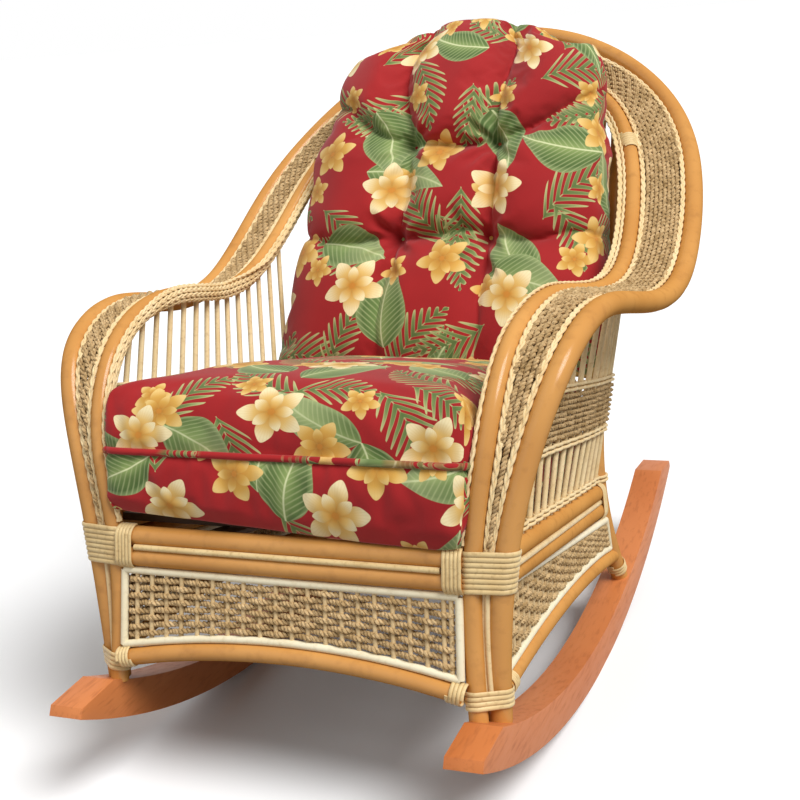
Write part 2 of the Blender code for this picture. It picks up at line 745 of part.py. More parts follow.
def back_cushion_front(across, share, inner):
    """Front of the back cushion at shares of its half width and of its height."""
    z, half = back_cushion_half(share, -1.0, inner)
    edge = min(abs(across), 1.0)
    swell = (1 - edge ** 3) * (1 - abs(2 * share - 1) ** 4)
    thick = BACK_CUSHION_THICKNESS * (1 - 0.35 * share ** 3) + BACK_CUSHION_CROWN * swell
    thick *= (1 - 0.30 * edge ** 5) * (1 - 0.45 * share ** 8)
    return back_plane(z) - thick + tuft_pull(across, share, half)


def back_cushion_point(u, v, w, inner):
    """A place on the back cushion from -1 to 1: u across, v front to back, w up."""
    share = (w + 1) / 2
    z, half = back_cushion_half(share, v, inner)
    rear = back_plane(z) - 0.012 * abs(u) ** 6 - 0.02 * share ** 12
    y = lerp(back_cushion_front(u, share, inner), rear, (v + 1) / 2)
    sink = 0.050 * abs(u) ** 3 * max(share - 0.9, 0.0) / 0.1
    x = u * half
    across = min(abs(x) / SEAT_CUSHION_HALF_WIDTH, 1.0)
    along = (y - SEAT_CUSHION_FRONT) * 2 / SEAT_CUSHION_DEPTH - 1
    hollow = SEAT_CUSHION_EDGE + SEAT_CUSHION_CROWN - seat_cushion_top(across, min(max(along, -1.0), 1.0))
    drop = sink + hollow * (1 - share) ** 6
    return Vector((x, float(y) - back_lean() * drop, z - drop))


def shape_box(mesh, place):
    for vert in mesh.verts:
        vert.co = place(*vert.co)


def add_button(chair, name, column, row, inner, material):
    """A covered button, pulled into its tuft."""
    front = back_cushion_front(column, row, inner)
    z, half = back_cushion_half(row, -1.0, inner)
    lean = math.atan(back_lean())
    mesh = bmesh.new()
    bmesh.ops.create_uvsphere(mesh, u_segments=10, v_segments=6, radius=1.0)
    size = Matrix.Diagonal((BUTTON_RADIUS, BUTTON_HEIGHT / 2, BUTTON_RADIUS, 1.0))
    place = Matrix.Translation((column * half, front - BUTTON_STAND, z))
    turn = Matrix.Rotation(-lean, 4, "X")
    bmesh.ops.transform(mesh, matrix=place @ turn @ size, verts=mesh.verts)
    chair.add(name, mesh, material)


# The chair

def build():
    for old in list(bpy.data.objects):
        bpy.data.objects.remove(old)
    dowel_wood = make_material("dowel", (0.62, 0.45, 0.26), 0.6)
    rattan = make_material("rattan_pole", (0.62, 0.27, 0.06), 0.35)
    rocker_wood = make_material("rocker_wood", (0.50, 0.16, 0.05), 0.45)
    reed = make_material("reed", (0.78, 0.62, 0.36), 0.55)
    peel = make_material("peel", (0.72, 0.55, 0.28), 0.5)
    seagrass = make_material("seagrass", (0.42, 0.29, 0.15), 0.8)
    fabric = make_material("printed_fabric", (0.42, 0.02, 0.03), 0.9)
    chair = Chair()

    outer, inner = half_of(outer_route()), half_of(inner_route())
    rear = rear_leg_route(inner)
    legs_cutter = add_rocker_top_cutter(chair)
    splice = at_height(inner[len(inner) // 2:], SPLICE_HEIGHT)
    sides = (("left", -1), ("right", 1))

    # Rockers, poles and dowels
    leg_cutters = {}
    crown = part_of(inner, low=splice)[1:]
    whole_crown = spaced(np.vstack([crown, mirrored(crown, -1)[::-1]]), RING_STEP)
    chair.pole("inner_hoop", whole_crown, INNER_RADIUS, rattan)
    fitted = bmesh.new()
    loft_into(fitted, tube_rings(whole_crown, INNER_RADIUS + CLEARANCE, POLE_SIDES))
    hoop_cutter = chair.cutter("hoop_cutter", fitted)
    for word, side in sides:
        rocker = add_rocker(chair, f"rocker_{word}", side, rocker_wood)
        outer_pole = chair.pole(f"outer_pole_{word}", spaced(mirrored(outer, side), RING_STEP), OUTER_RADIUS,
                                rattan, end=(-side, 0, 0))
        arm = part_of(inner, high=splice)
        inner_pole = chair.pole(f"inner_pole_{word}", spaced(mirrored(arm, side), RING_STEP),
                                INNER_RADIUS, rattan)
        rear_path = spaced(mirrored(rear, side), RING_STEP)
        rear_leg = chair.pole(f"rear_leg_{word}", rear_path, REAR_LEG_RADIUS, rattan)
        leg_cutters[word] = add_leg_cutter(chair, word, rear_path)
        for leg in (outer_pole, inner_pole, rear_leg):
            combine(leg, legs_cutter, "DIFFERENCE")
        combine(rear_leg, hoop_cutter, "DIFFERENCE")
        add_dowel(chair, f"front_dowel_{word}", mirrored(outer, side), outer_pole, rocker, dowel_wood)
        add_dowel(chair, f"rear_dowel_{word}", mirrored(rear, side), rear_leg, rocker, dowel_wood)

    # Seat rails and arches
    levels = np.linspace(-RAIL_DROP - RAIL_RADIUS, RAIL_RADIUS, 9)
    rail_end = min(at_height(inner, FRONT_RAIL_HEIGHT + d)[0] for d in levels) - binding_reach(INNER_RADIUS)
    leg_rear = max(at_height(outer, SIDE_RAIL_HEIGHT + d)[1] for d in levels)
    side_front = np.array((SIDE_RAIL_FRONT_X, leg_rear + binding_reach(OUTER_RADIUS), 0.0))
    side_rear = into_rear_leg(rear, SIDE_RAIL_HEIGHT, (0, -1, 0)) * (1, 1, 0)
    for word, drop in (("upper", 0.0), ("lower", RAIL_DROP)):
        front = [(x, FRONT_RAIL_Y, FRONT_RAIL_HEIGHT - drop) for x in (-rail_end, rail_end)]
        chair.pole(f"front_rail_{word}", np.array(front), RAIL_RADIUS, rattan)
        leg = into_rear_leg(rear, SIDE_RAIL_HEIGHT - drop, (-1, 0, 0))
        back = chair.pole(f"back_rail_{word}", np.array([mirrored(leg, -1), leg]), RAIL_RADIUS, rattan)
        for cutter in leg_cutters.values():
            combine(back, cutter, "DIFFERENCE")
        for name, side in sides:
            leg = into_rear_leg(rear, SIDE_RAIL_HEIGHT - drop, (0, -1, 0))
            ends = np.array([side_front, (side_rear[0], leg[1], 0.0)])
            ends[:, 2] = SIDE_RAIL_HEIGHT - drop
            rail = chair.pole(f"side_rail_{word}_{name}", mirrored(ends, side), RAIL_RADIUS, rattan)
            combine(rail, leg_cutters[name], "DIFFERENCE")
    add_strips(chair, rail_end, side_front, side_rear, reed, sides)
    add_aprons(chair, outer, inner, rear, rail_end, leg_cutters, (rattan, reed, seagrass), sides)

    # Wicker of the sides, the back and the bands
    add_wicker(chair, inner, rear, side_front, side_rear, seagrass, sides)
    arm_share = seat_share(outer)
    for word, side in sides:
        rings = band_rings(outer, inner, arm_share, BAND_SPLIT, 20)
        chair.loft(f"arm_band_{word}", [mirrored(r, side) for r in rings], seagrass)
    crown_rings = band_rings(outer, inner, BAND_SPLIT + 0.0025, 1.0, 20)
    left_rings = [mirrored(r, -1) for r in reversed(crown_rings[:-1])]
    chair.loft("back_band", [np.array(r) for r in crown_rings] + left_rings, seagrass)
    add_deck(chair, side_front, side_rear, rattan)

    # Bindings
    add_bindings(chair, outer, inner, rear, rail_end, peel, sides)

    # Cushions
    seat = box_grid(SEAT_CUSHION_CELLS)
    shape_box(seat, seat_cushion_point)
    chair.add("seat_cushion", seat, fabric, 80)
    back = box_grid((BACK_CUSHION_CELLS[0], BACK_CUSHION_CELLS[2], BACK_CUSHION_CELLS[1]))
    shape_box(back, lambda u, v, w: back_cushion_point(u, v, w, inner))
    chair.add("back_cushion", back, fabric, 80)
    for i, row in enumerate(TUFT_HEIGHTS):
        for word, side in sides:
            level = ("lower", "upper")[i]
            add_button(chair, f"tuft_button_{level}_{word}", side * TUFT_ACROSS, row, inner, fabric)
    set_down(chair)


def into_rear_leg(rear, height, toward):
    """Where a rail ends at the rear leg, whose lean then cuts it to fit."""
    return at_height(rear, height) + np.array(toward) * (REAR_LEG_RADIUS + CLEARANCE)


def add_leg_cutter(chair, word, path):
    mesh = bmesh.new()
    loft_into(mesh, tube_rings(path, REAR_LEG_RADIUS + CLEARANCE, POLE_SIDES))
    return chair.cutter(f"rear_leg_cutter_{word}", mesh)


def seat_share(outer):
    """Share of the outer path's length at the top of the seat binding."""
    start = at_height(outer, seat_binding_top() + 2 * CLEARANCE)
    return (int(np.argmin(np.linalg.norm(outer - start, axis=1))) + 1) / (len(outer) - 1)


def add_strips(chair, rail_end, side_front, side_rear, material, sides):
    """Thin reed in the groove between the upper and lower rails."""
    reach = RAIL_RADIUS + STRIP_RADIUS + CLEARANCE
    proud = math.sqrt(reach ** 2 - (RAIL_DROP / 2) ** 2)
    binding = RAIL_BINDING_TURNS * (PEEL_WIDTH + PEEL_GAP) + 2 * CLEARANCE
    end = rail_end - binding
    height = FRONT_RAIL_HEIGHT - RAIL_DROP / 2
    path = np.array([(x, FRONT_RAIL_Y - proud, height) for x in (-end, end)])
    chair.pole("front_rail_strip", path, STRIP_RADIUS, material, 8)
    along = side_rear - side_front
    out = np.array((along[1], -along[0], 0.0)) / np.linalg.norm(along)
    for word, side in sides:
        ends = np.array([side_front, side_rear - along * 0.02]) + out * proud
        ends[:, 2] = SIDE_RAIL_HEIGHT - RAIL_DROP / 2
        chair.pole(f"side_rail_strip_{word}", mirrored(ends, side), STRIP_RADIUS, material, 8)


def arched(low, high, rise, steps):
    """Points from one end to the other, lifted into an arch."""
    shares = np.linspace(0, 1, steps + 1)
    return np.array([lerp(low, high, s) + (0, 0, rise * (1 - (2 * s - 1) ** 2)) for s in shares])


def add_aprons(chair, outer, inner, rear, rail_end, leg_cutters, materials, sides):
    """Arched lower rails, and the framed woven panels between them and the seat rails."""
    rattan, reed, seagrass = materials
    beside_rail = RAIL_RADIUS + CLEARANCE
    above_arch = ARCH_RADIUS + 1.5 * CLEARANCE

    # Front
    foot = at_height(inner, ARCH_FRONT_HEIGHT)
    reach = foot[0] - binding_reach(INNER_RADIUS) - 2 * CLEARANCE
    front = arched((-reach, FRONT_RAIL_Y, ARCH_FRONT_HEIGHT), (reach, FRONT_RAIL_Y, ARCH_FRONT_HEIGHT),
                   FRONT_ARCH_RISE, ARCH_STEPS)
    chair.pole("front_arch_rail", front, ARCH_RADIUS, rattan)
    top = FRONT_RAIL_HEIGHT - RAIL_DROP - binding_reach(RAIL_RADIUS)
    corner = rail_end
    low = front + (0, 0, above_arch)
    outline = [np.array((-corner, FRONT_RAIL_Y, top)), *low, np.array((corner, FRONT_RAIL_Y, top))]
    add_apron(chair, "front_apron", outline, (0, -1, 0), reed, seagrass)

    # Back, in the plane of the rear legs
    upper, lower = at_height(rear, SIDE_RAIL_HEIGHT - RAIL_DROP), at_height(rear, arch_rear_height())
    slope = (lower[1] - upper[1]) / (upper[2] - lower[2])

    def on_slope(x, z):
        return np.array((x, upper[1] + slope * (upper[2] - z), z))

    reach = lower[0] - REAR_LEG_RADIUS - CLEARANCE
    back = arched(on_slope(-reach, arch_rear_height()), on_slope(reach, arch_rear_height()), 0.0, ARCH_STEPS)
    back = np.array([on_slope(x, z + FRONT_ARCH_RISE * (1 - (x / reach) ** 2)) for x, y, z in back])
    rail = chair.pole("back_arch_rail", back, ARCH_RADIUS, rattan)
    for cutter in leg_cutters.values():
        combine(rail, cutter, "DIFFERENCE")
    steep = math.hypot(1, slope)
    top = SIDE_RAIL_HEIGHT - RAIL_DROP - beside_rail / steep
    inside = (lower[0] - REAR_LEG_RADIUS - 2 * CLEARANCE) / reach
    low = [on_slope(x * inside, z + above_arch / steep) for x, y, z in back]
    corner = at_height(rear, top)[0] - REAR_LEG_RADIUS - 2 * CLEARANCE
    outline = [on_slope(-corner, top), *low, on_slope(corner, top)]
    add_apron(chair, "back_apron", outline, np.array((0, 1, slope)), reed, seagrass)

    # Sides, in an upright plane from front leg to rear leg
    for word, side in sides:
        start = at_height(outer, ARCH_FRONT_HEIGHT) + (0, binding_reach(OUTER_RADIUS) + 0.002, 0)
        lean = math.atan(slope)
        stop = into_rear_leg(rear, arch_rear_height(), (0, -1, 0))
        arch = arched(start, stop, SIDE_ARCH_RISE, ARCH_STEPS)
        rail = chair.pole(f"side_arch_rail_{word}", mirrored(arch, side), ARCH_RADIUS, rattan)
        combine(rail, leg_cutters[word], "DIFFERENCE")
        ahead = stop - start
        top = SIDE_RAIL_HEIGHT - RAIL_DROP - beside_rail

        def on_side(y, z):
            return np.array((start[0] + ahead[0] * (y - start[1]) / ahead[1], y, z))

        top_front = at_height(outer, top)[1] + binding_reach(OUTER_RADIUS)
        past_leg = REAR_LEG_RADIUS / math.cos(lean) + 3 * CLEARANCE
        top_rear = at_height(rear, top)[1] - past_leg
        low = [p + (0, 0, above_arch * 1.03) for p in arch]
        low[0] = on_side(low[0][1], low[0][2])
        low[-1] = on_side(at_height(rear, low[-1][2])[1] - past_leg, low[-1][2])
        outline = [on_side(top_front, top), *low, on_side(top_rear, top)]
        flat = mirrored((ahead[1], -ahead[0], 0), side)
        add_apron(chair, f"side_apron_{word}", [mirrored(p, side) for p in outline], flat, reed, seagrass)


def add_wicker(chair, inner, rear, side_front, side_rear, material, sides):
    """Spokes and woven bands under the arms and in the back."""
    arm_start = int(np.argmin(np.linalg.norm(inner - at_height(inner, ARM_HEIGHT - 0.035), axis=1)))
    rear_at_arm = at_height(rear, ARM_HEIGHT)
    stop_point = (inner[arm_start][0], rear_at_arm[1], ARM_HEIGHT + 0.08)
    arm_stop = int(np.argmin(np.linalg.norm(inner - stop_point, axis=1)))
    stretch = spaced(inner[arm_start:arm_stop], 0.002)
    feet, heads = [], []
    along = side_rear - side_front
    for i in range(SIDE_SPOKES):
        share = (i + 0.5) / SIDE_SPOKES
        foot = side_front + along * share + (0, 0, SIDE_RAIL_HEIGHT)
        head = short_of(foot, stretch, int(round((len(stretch) - 1) * share)), INNER_RADIUS, SPOKE_RADIUS)
        ahead = (head - foot) / np.linalg.norm(head - foot)
        feet.append(foot + ahead * (RAIL_RADIUS * 1.03 + 2 * CLEARANCE))
        heads.append(head)
    for word, side in sides:
        spokes_and_band(chair, f"side_wicker_{word}", mirrored(feet, side), mirrored(heads, side),
                        SIDE_BAND_BOTTOM, SIDE_BAND_TOP, material)

    # Back: from the back rail to the inner hoop, between the rear legs
    crown_start = int(np.argmin(np.linalg.norm(inner - rear[-1], axis=1)))
    crown = inner[crown_start:]
    hoop = np.vstack([crown, mirrored(crown, -1)[::-1]])
    width = REAR_SEAT_X - REAR_LEG_RADIUS
    feet, heads = [], []
    for i in range(BACK_SPOKES):
        share = (i + 1.15) / (BACK_SPOKES + 1.3)
        foot = np.array((width * (1 - 2 * share), REAR_SEAT_Y, SIDE_RAIL_HEIGHT))
        head = short_of(foot, hoop, int(round((len(hoop) - 1) * share)), INNER_RADIUS, SPOKE_RADIUS)
        ahead = (head - foot) / np.linalg.norm(head - foot)
        feet.append(foot + ahead * (RAIL_RADIUS * 1.03 + 2 * CLEARANCE))
        heads.append(head)
    spokes_and_band(chair, "back_wicker", feet, heads, BACK_BAND_BOTTOM, BACK_BAND_TOP, material)


def add_deck(chair, side_front, side_rear, material):
    """Slats across the seat on two runners, joined into one deck."""
    front = FRONT_RAIL_Y + RAIL_RADIUS + CLEARANCE
    back = REAR_SEAT_Y - RAIL_RADIUS - 2 * CLEARANCE
    level = seat_cushion_bottom() - CLEARANCE - SLAT_THICKNESS
    runner_level = level - RUNNER_RADIUS * 0.8
    slats = bmesh.new()
    along = side_rear - side_front
    first = side_front[1] + SLAT_WIDTH
    last = side_rear[1] - SLAT_WIDTH
    for i in range(SLATS):
        y = first + (last - first) * i / (SLATS - 1)
        ends = []
        for edge in (y - SLAT_WIDTH / 2, y + SLAT_WIDTH / 2):
            rail = side_front[0] + along[0] * (edge - side_front[1]) / along[1]
            ends.append((rail - RAIL_RADIUS - CLEARANCE, edge))
        (near, low), (far, high) = ends
        outline = [(-near, low), (near, low), (far, high), (-far, high)]
        loft_into(slats, [[(x, y, z) for x, y in outline] for z in (level, level + SLAT_THICKNESS)])
    slat_piece = chair.cutter("deck_slats", slats)
    other = bmesh.new()
    loft_into(other, tube_rings(np.array([(-RUNNER_X, front, runner_level), (-RUNNER_X, back, runner_level)]),
                                RUNNER_RADIUS, 8))
    second = chair.cutter("deck_runner", other)
    path = np.array([(RUNNER_X, front, runner_level), (RUNNER_X, back, runner_level)])
    deck = chair.pole("seat_deck", path, RUNNER_RADIUS, material, 8)
    combine(deck, slat_piece, "UNION")
    combine(deck, second, "UNION")


def add_bindings(chair, outer, inner, rear, rail_end, material, sides):
    """Peel round the legs at the seat and the feet, and round the ends of the front rails."""

    def leg_sections(height):
        a, b = at_height(inner, height), at_height(outer, height)
        return [(a[0], a[1], INNER_RADIUS), (b[0], b[1], OUTER_RADIUS)]

    def rail_sections(along):
        return [(FRONT_RAIL_Y, FRONT_RAIL_HEIGHT - drop, RAIL_RADIUS) for drop in (0.0, RAIL_DROP)]

    pitch = PEEL_WIDTH + PEEL_GAP
    foot_level = rocker_top(LEG_FOOT_Y) + FOOT_BINDING_LIFT
    rear_foot = at_height(rear, rocker_top(REAR_FOOT_Y) + REAR_BINDING_LIFT + REAR_BINDING_TURNS * pitch / 2)
    for word, side in sides:
        add_binding(chair, f"seat_binding_{word}", leg_sections, leg_frame(side),
                    SEAT_BINDING_BOTTOM, SEAT_BINDING_TURNS, material)
        add_binding(chair, f"foot_binding_{word}", leg_sections, leg_frame(side),
                    foot_level, FOOT_BINDING_TURNS, material)
        rail_frame = ((0, 0, 0), (0, 1, 0), (0, 0, 1), (side, 0, 0))
        add_binding(chair, f"rail_binding_{word}", rail_sections, rail_frame,
                    rail_end - RAIL_BINDING_TURNS * pitch, RAIL_BINDING_TURNS, material)
        length = REAR_BINDING_TURNS * pitch
        add_binding(chair, f"rear_foot_binding_{word}", lambda s: [(0, 0, REAR_LEG_RADIUS)],
                    pole_frame(rear, rear_foot, side, length), 0.0, REAR_BINDING_TURNS, material, CLEARANCE)


def set_down(chair):
    """Leans the chair back on its rockers and puts the middle of its box over the origin."""
    tilt = math.radians(REST_TILT)
    chair.root.rotation_euler = (-tilt, 0, 0)
    bpy.context.view_layer.update()
    graph = bpy.context.evaluated_depsgraph_get()
    corners = []
    for piece in chair.pieces.values():
        if not piece.hide_render:
            found = piece.evaluated_get(graph)
            corners += [found.matrix_world @ v.co for v in found.data.vertices]
    low_y, high_y = min(c.y for c in corners), max(c.y for c in corners)
    chair.root.location = (0, -(low_y + high_y) / 2, -min(c.z for c in corners))


build()
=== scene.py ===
import math

import bmesh
import bpy
import numpy as np
from mathutils import Matrix, Vector, noise


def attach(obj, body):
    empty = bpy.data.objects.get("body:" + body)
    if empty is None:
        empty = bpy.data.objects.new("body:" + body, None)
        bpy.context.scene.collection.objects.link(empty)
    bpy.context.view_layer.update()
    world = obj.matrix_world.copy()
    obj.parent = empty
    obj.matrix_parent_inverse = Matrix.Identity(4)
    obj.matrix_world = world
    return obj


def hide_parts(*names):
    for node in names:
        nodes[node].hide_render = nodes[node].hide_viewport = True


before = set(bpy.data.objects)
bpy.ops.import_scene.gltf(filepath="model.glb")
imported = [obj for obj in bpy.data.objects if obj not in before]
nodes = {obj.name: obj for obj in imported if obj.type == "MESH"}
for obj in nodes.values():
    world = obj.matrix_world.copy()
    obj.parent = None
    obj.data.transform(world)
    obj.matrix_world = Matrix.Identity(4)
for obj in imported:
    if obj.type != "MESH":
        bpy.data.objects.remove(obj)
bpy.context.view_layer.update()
scene = bpy.context.scene

# everything is drawn upright, then leaned back onto the rockers
stance = {"lean": 12.0, "shift": (0.0, -0.165877, 0.004210)}
rest = Matrix.Translation(stance["shift"]) @ Matrix.Rotation(math.radians(-stance["lean"]), 4, "X")


# camera

shot = {"turn": 21.778, "down": 4.170, "lens": 61.209, "sensor": 36, "place": (0.75603, -1.85501, 0.57680)}


def addCamera():
    turn, down = math.radians(shot["turn"]), math.radians(shot["down"])
    ahead = Vector((-math.sin(turn) * math.cos(down), math.cos(turn) * math.cos(down), -math.sin(down)))
    right = Vector((math.cos(turn), math.sin(turn), 0))
    up = right.cross(ahead)
    eye = Matrix((right, up, -ahead)).transposed().to_4x4()
    camera = bpy.data.objects.new("camera", bpy.data.cameras.new("camera"))
    camera.data.sensor_width = shot["sensor"]
    camera.data.lens = shot["lens"]
    camera.data.clip_start = 0.01
    scene.collection.objects.link(camera)
    camera.matrix_world = rest @ Matrix.Translation(shot["place"]) @ eye
    scene.camera = camera


addCamera()
print("camera set")


# shader values that add, multiply and so on like numbers
class Shade:
    def __init__(self, socket):
        self.socket = socket
        self.tree = socket.id_data

    def __add__(self, other):
        return calc("ADD", self, other)

    def __sub__(self, other):
        return calc("SUBTRACT", self, other)

    def __rsub__(self, other):
        return calc("SUBTRACT", other, self)

    def __mul__(self, other):
        return calc("MULTIPLY", self, other)

    def __truediv__(self, other):
        return calc("DIVIDE", self, other)

    def __pow__(self, other):
        return calc("POWER", self, other)

    def __abs__(self):
        return calc("ABSOLUTE", self)


def put(value, socket):
    if isinstance(value, Shade):
        value.tree.links.new(value.socket, socket)
    else:
        socket.default_value = value


def newNode(tree, kind, inputs, **settings):
    node = tree.nodes.new("ShaderNode" + kind)
    for label, value in settings.items():
        setattr(node, label, value)
    for label, value in inputs.items():
        put(value, node.inputs[label])
    return node


def calc(operation, *values):
    tree = next(v.tree for v in values if isinstance(v, Shade))
    return Shade(newNode(tree, "Math", dict(enumerate(values)), operation=operation).outputs[0])


# keeps the last sum between 0 and 1
def held(value):
    value.socket.node.use_clamp = True
    return value


def vec(operation, first, second):
    node = newNode(first.tree, "VectorMath", {0: first, 1: second}, operation=operation)
    return Shade(node.outputs["Vector"])


def split(kind, value):
    return [Shade(part) for part in newNode(value.tree, "Separate" + kind, {0: value}).outputs]


def opaque(tone):
    return (*tone, 1.0) if isinstance(tone, tuple) and len(tone) == 3 else tone


def mixTone(share, first, second):
    inputs = {"Factor": share, "A": opaque(first), "B": opaque(second)}
    return Shade(newNode(share.tree, "Mix", inputs, data_type="RGBA").outputs["Result"])


def ramp(value, stops):
    node = newNode(value.tree, "ValToRGB", {"Fac": value})
    while len(node.color_ramp.elements) < len(stops):
        node.color_ramp.elements.new(0.5)
    for element, (spot, tone) in zip(node.color_ramp.elements, stops):
        element.position = spot
        element.color = opaque(tone)
    return Shade(node.outputs["Color"])


def grain(where, scale, detail):
    inputs = {"Vector": where, "Scale": scale, "Detail": detail}
    return Shade(newNode(where.tree, "TexNoise", inputs).outputs["Fac"])


def bump(height, strength, distance):
    inputs = {"Strength": strength, "Distance": distance, "Height": height}
    return Shade(newNode(height.tree, "Bump", inputs).outputs["Normal"])


def coordinates(tree, kind):
    return Shade(newNode(tree, "TexCoord", {}).outputs[kind])


def newGroup(name, inputs, outputs):
    tree = bpy.data.node_groups.new(name, "ShaderNodeTree")
    for label, kind, value in inputs:
        socket = tree.interface.new_socket(label, in_out="INPUT", socket_type="NodeSocket" + kind)
        socket.default_value = value
    for label, kind in outputs:
        tree.interface.new_socket(label, in_out="OUTPUT", socket_type="NodeSocket" + kind)
    given = {socket.name: Shade(socket) for socket in tree.nodes.new("NodeGroupInput").outputs}
    return tree, given, tree.nodes.new("NodeGroupOutput").inputs


def newMaterial(name, roughness, **constants):
    material = bpy.data.materials.new(name)
    material.use_nodes = True
    tree = material.node_tree
    shader = tree.nodes["Principled BSDF"].inputs
    shader["Roughness"].default_value = roughness
    for label, value in constants.items():
        shader[label.replace("_", " ")].default_value = value
    return material, tree, shader


# natural fibre: slow change of tone, fine streaks and dark specks
def fibreGroup():
    tree, given, out = newGroup("naturalFibre", [
        ("Place", "Vector", (0, 0, 0)), ("Light", "Color", (1, 1, 1, 1)), ("Middle", "Color", (1, 1, 1, 1)),
        ("Dark", "Color", (0, 0, 0, 1)), ("Patch", "Float", 12.0), ("Fine", "Float", 160.0),
        ("Specks", "Float", 0.3)], [("Color", "Color"), ("Height", "Float")])
    patch = grain(given["Place"], given["Patch"], 2.0)
    streaks = grain(given["Place"], given["Fine"], 4.0)
    tone = mixTone(held(patch * 2.4 - 0.7), given["Middle"], given["Light"])
    speck = held(streaks * 4.0 - 2.1) * given["Specks"]
    put(mixTone(speck, tone, given["Dark"]), out["Color"])
    put(streaks, out["Height"])
    return tree


fibre = fibreGroup()


def fibreMaterial(name, light, middle, dark, roughness, patch, fine, specks, rough=0.25, stretch=None,
                  **constants):
    material, tree, shader = newMaterial(name, roughness, **constants)
    where = coordinates(tree, "Object")
    if stretch:
        where = vec("MULTIPLY", where, stretch)
    inputs = {"Place": where, "Light": opaque(light), "Middle": opaque(middle), "Dark": opaque(dark),
              "Patch": patch, "Fine": fine, "Specks": specks}
    found = newNode(tree, "Group", inputs, node_tree=fibre).outputs
    height = Shade(found["Height"])
    put(Shade(found["Color"]), shader["Base Color"])
    put(bump(height, rough, 0.001), shader["Normal"])
    put(height * 0.25 + (roughness - 0.12), shader["Roughness"])
    return material


honeyPole = fibreMaterial("honeyPole", (0.66, 0.325, 0.09), (0.565, 0.255, 0.062), (0.28, 0.11, 0.028),
                          roughness=0.38, patch=7.0, fine=60.0, specks=0.30, rough=0.05,
                          Coat_Roughness=0.20, Specular_IOR_Level=0.0)
rockerWood = fibreMaterial("rockerWood", (0.64, 0.215, 0.065), (0.55, 0.165, 0.043), (0.28, 0.07, 0.02),
                           roughness=0.5, patch=3.0, fine=26.0, specks=0.45, rough=0.10,
                           stretch=(6.0, 1.0, 6.0), Specular_IOR_Level=0.3)
creamReed = fibreMaterial("creamReed", (0.88, 0.70, 0.41), (0.78, 0.57, 0.285), (0.44, 0.26, 0.10),
                          roughness=0.55, patch=20.0, fine=190.0, specks=0.45, rough=0.15,
                          Specular_IOR_Level=0.2)
paleFrame = fibreMaterial("paleFrame", (0.88, 0.80, 0.58), (0.82, 0.71, 0.47), (0.45, 0.32, 0.15),
                          roughness=0.5, patch=14.0, fine=150.0, specks=0.3, rough=0.12)
creamPeel = fibreMaterial("creamPeel", (0.78, 0.60, 0.31), (0.67, 0.475, 0.22), (0.34, 0.195, 0.065),
                          roughness=0.45, patch=30.0, fine=170.0, specks=0.5, rough=0.15,
                          Coat_Weight=0.1, Coat_Roughness=0.3, Specular_IOR_Level=0.2)
seagrassRope = fibreMaterial("seagrassRope", (0.68, 0.485, 0.255), (0.41, 0.265, 0.115), (0.04, 0.02, 0.008),
                             roughness=0.7, patch=60.0, fine=330.0, specks=0.9, rough=0.5,
                             Specular_IOR_Level=0.1)
tanStake = fibreMaterial("tanStake", (0.70, 0.52, 0.28), (0.58, 0.41, 0.20), (0.17, 0.09, 0.035),
                         roughness=0.6, patch=30.0, fine=210.0, specks=0.5)
# stakes of the woven bands: dark brown as painted shade, standing for the shadow in the gaps between the
# ropes
paintedShadeStake = fibreMaterial("paintedShadeStake", (0.24, 0.15, 0.065), (0.17, 0.10, 0.042), (0.05, 0.025, 0.01),
                          roughness=0.7, patch=30.0, fine=210.0, specks=0.5, Specular_IOR_Level=0.1)
# seat deck: near black as painted shade, standing for the deep shadow under the seat cushion
deckPaintedShade = fibreMaterial("deckPaintedShade", (0.10, 0.045, 0.014), (0.07, 0.03, 0.01), (0.03, 0.012, 0.005),
                         roughness=0.6, patch=9.0, fine=70.0, specks=0.4)
plainDowel = fibreMaterial("plainDowel", (0.62, 0.45, 0.26), (0.55, 0.38, 0.2), (0.3, 0.18, 0.08),
                           roughness=0.6, patch=20.0, fine=150.0, specks=0.3)

varnish = {"weight": 0.65, "blend": 0.5, "gone": 0.7}


# varnish that shines where a pole faces the eye and fades towards its edges
def addVarnish(material):
    tree = material.node_tree
    facing = Shade(newNode(tree, "LayerWeight", {"Blend": varnish["blend"]}).outputs["Facing"])
    inputs = {"Value": facing, "From Max": varnish["gone"], "To Min": varnish["weight"], "To Max": 0.0}
    fade = Shade(newNode(tree, "MapRange", inputs).outputs["Result"])
    put(fade, tree.nodes["Principled BSDF"].inputs["Coat Weight"])


addVarnish(honeyPole)
print("wood and fibre finishes made")


# printed cloth: each layer of sprays, leaves, buds or blossoms has a spacing, a size and a shift
clothPrint = {
    "ground": (0.37, 0.013, 0.014), "deep": (0.25, 0.007, 0.009),
    "sprays": ((0.205, 0.070, (0.07, 0.15)), (0.235, 0.0742, (0.31, 0.02)), (0.185, 0.0595, (0.16, 0.41))),
    "leaves": ((0.290, (0.072, 0.030), (0.29, 0.21)), (0.225, (0.060, 0.037), (0.11, 0.06)),
               (0.275, (0.066, 0.040), (0.02, 0.33))),
    "buds": ((0.150, 0.025, (0.05, 0.09)), (0.215, 0.0375, (0.17, 0.03))),
    "blossoms": ((0.205, 0.044, (0.012, 0.045)),),
    "gold": ((0.0, (0.30, 0.10, 0.012)), (0.3, (0.52, 0.23, 0.03)), (0.65, (0.62, 0.34, 0.065)),
             (0.95, (0.76, 0.52, 0.18))),
    "cream": ((0.0, (0.35, 0.12, 0.015)), (0.24, (0.58, 0.27, 0.04)), (0.55, (0.72, 0.46, 0.14)),
              (0.9, (0.86, 0.72, 0.42))),
}


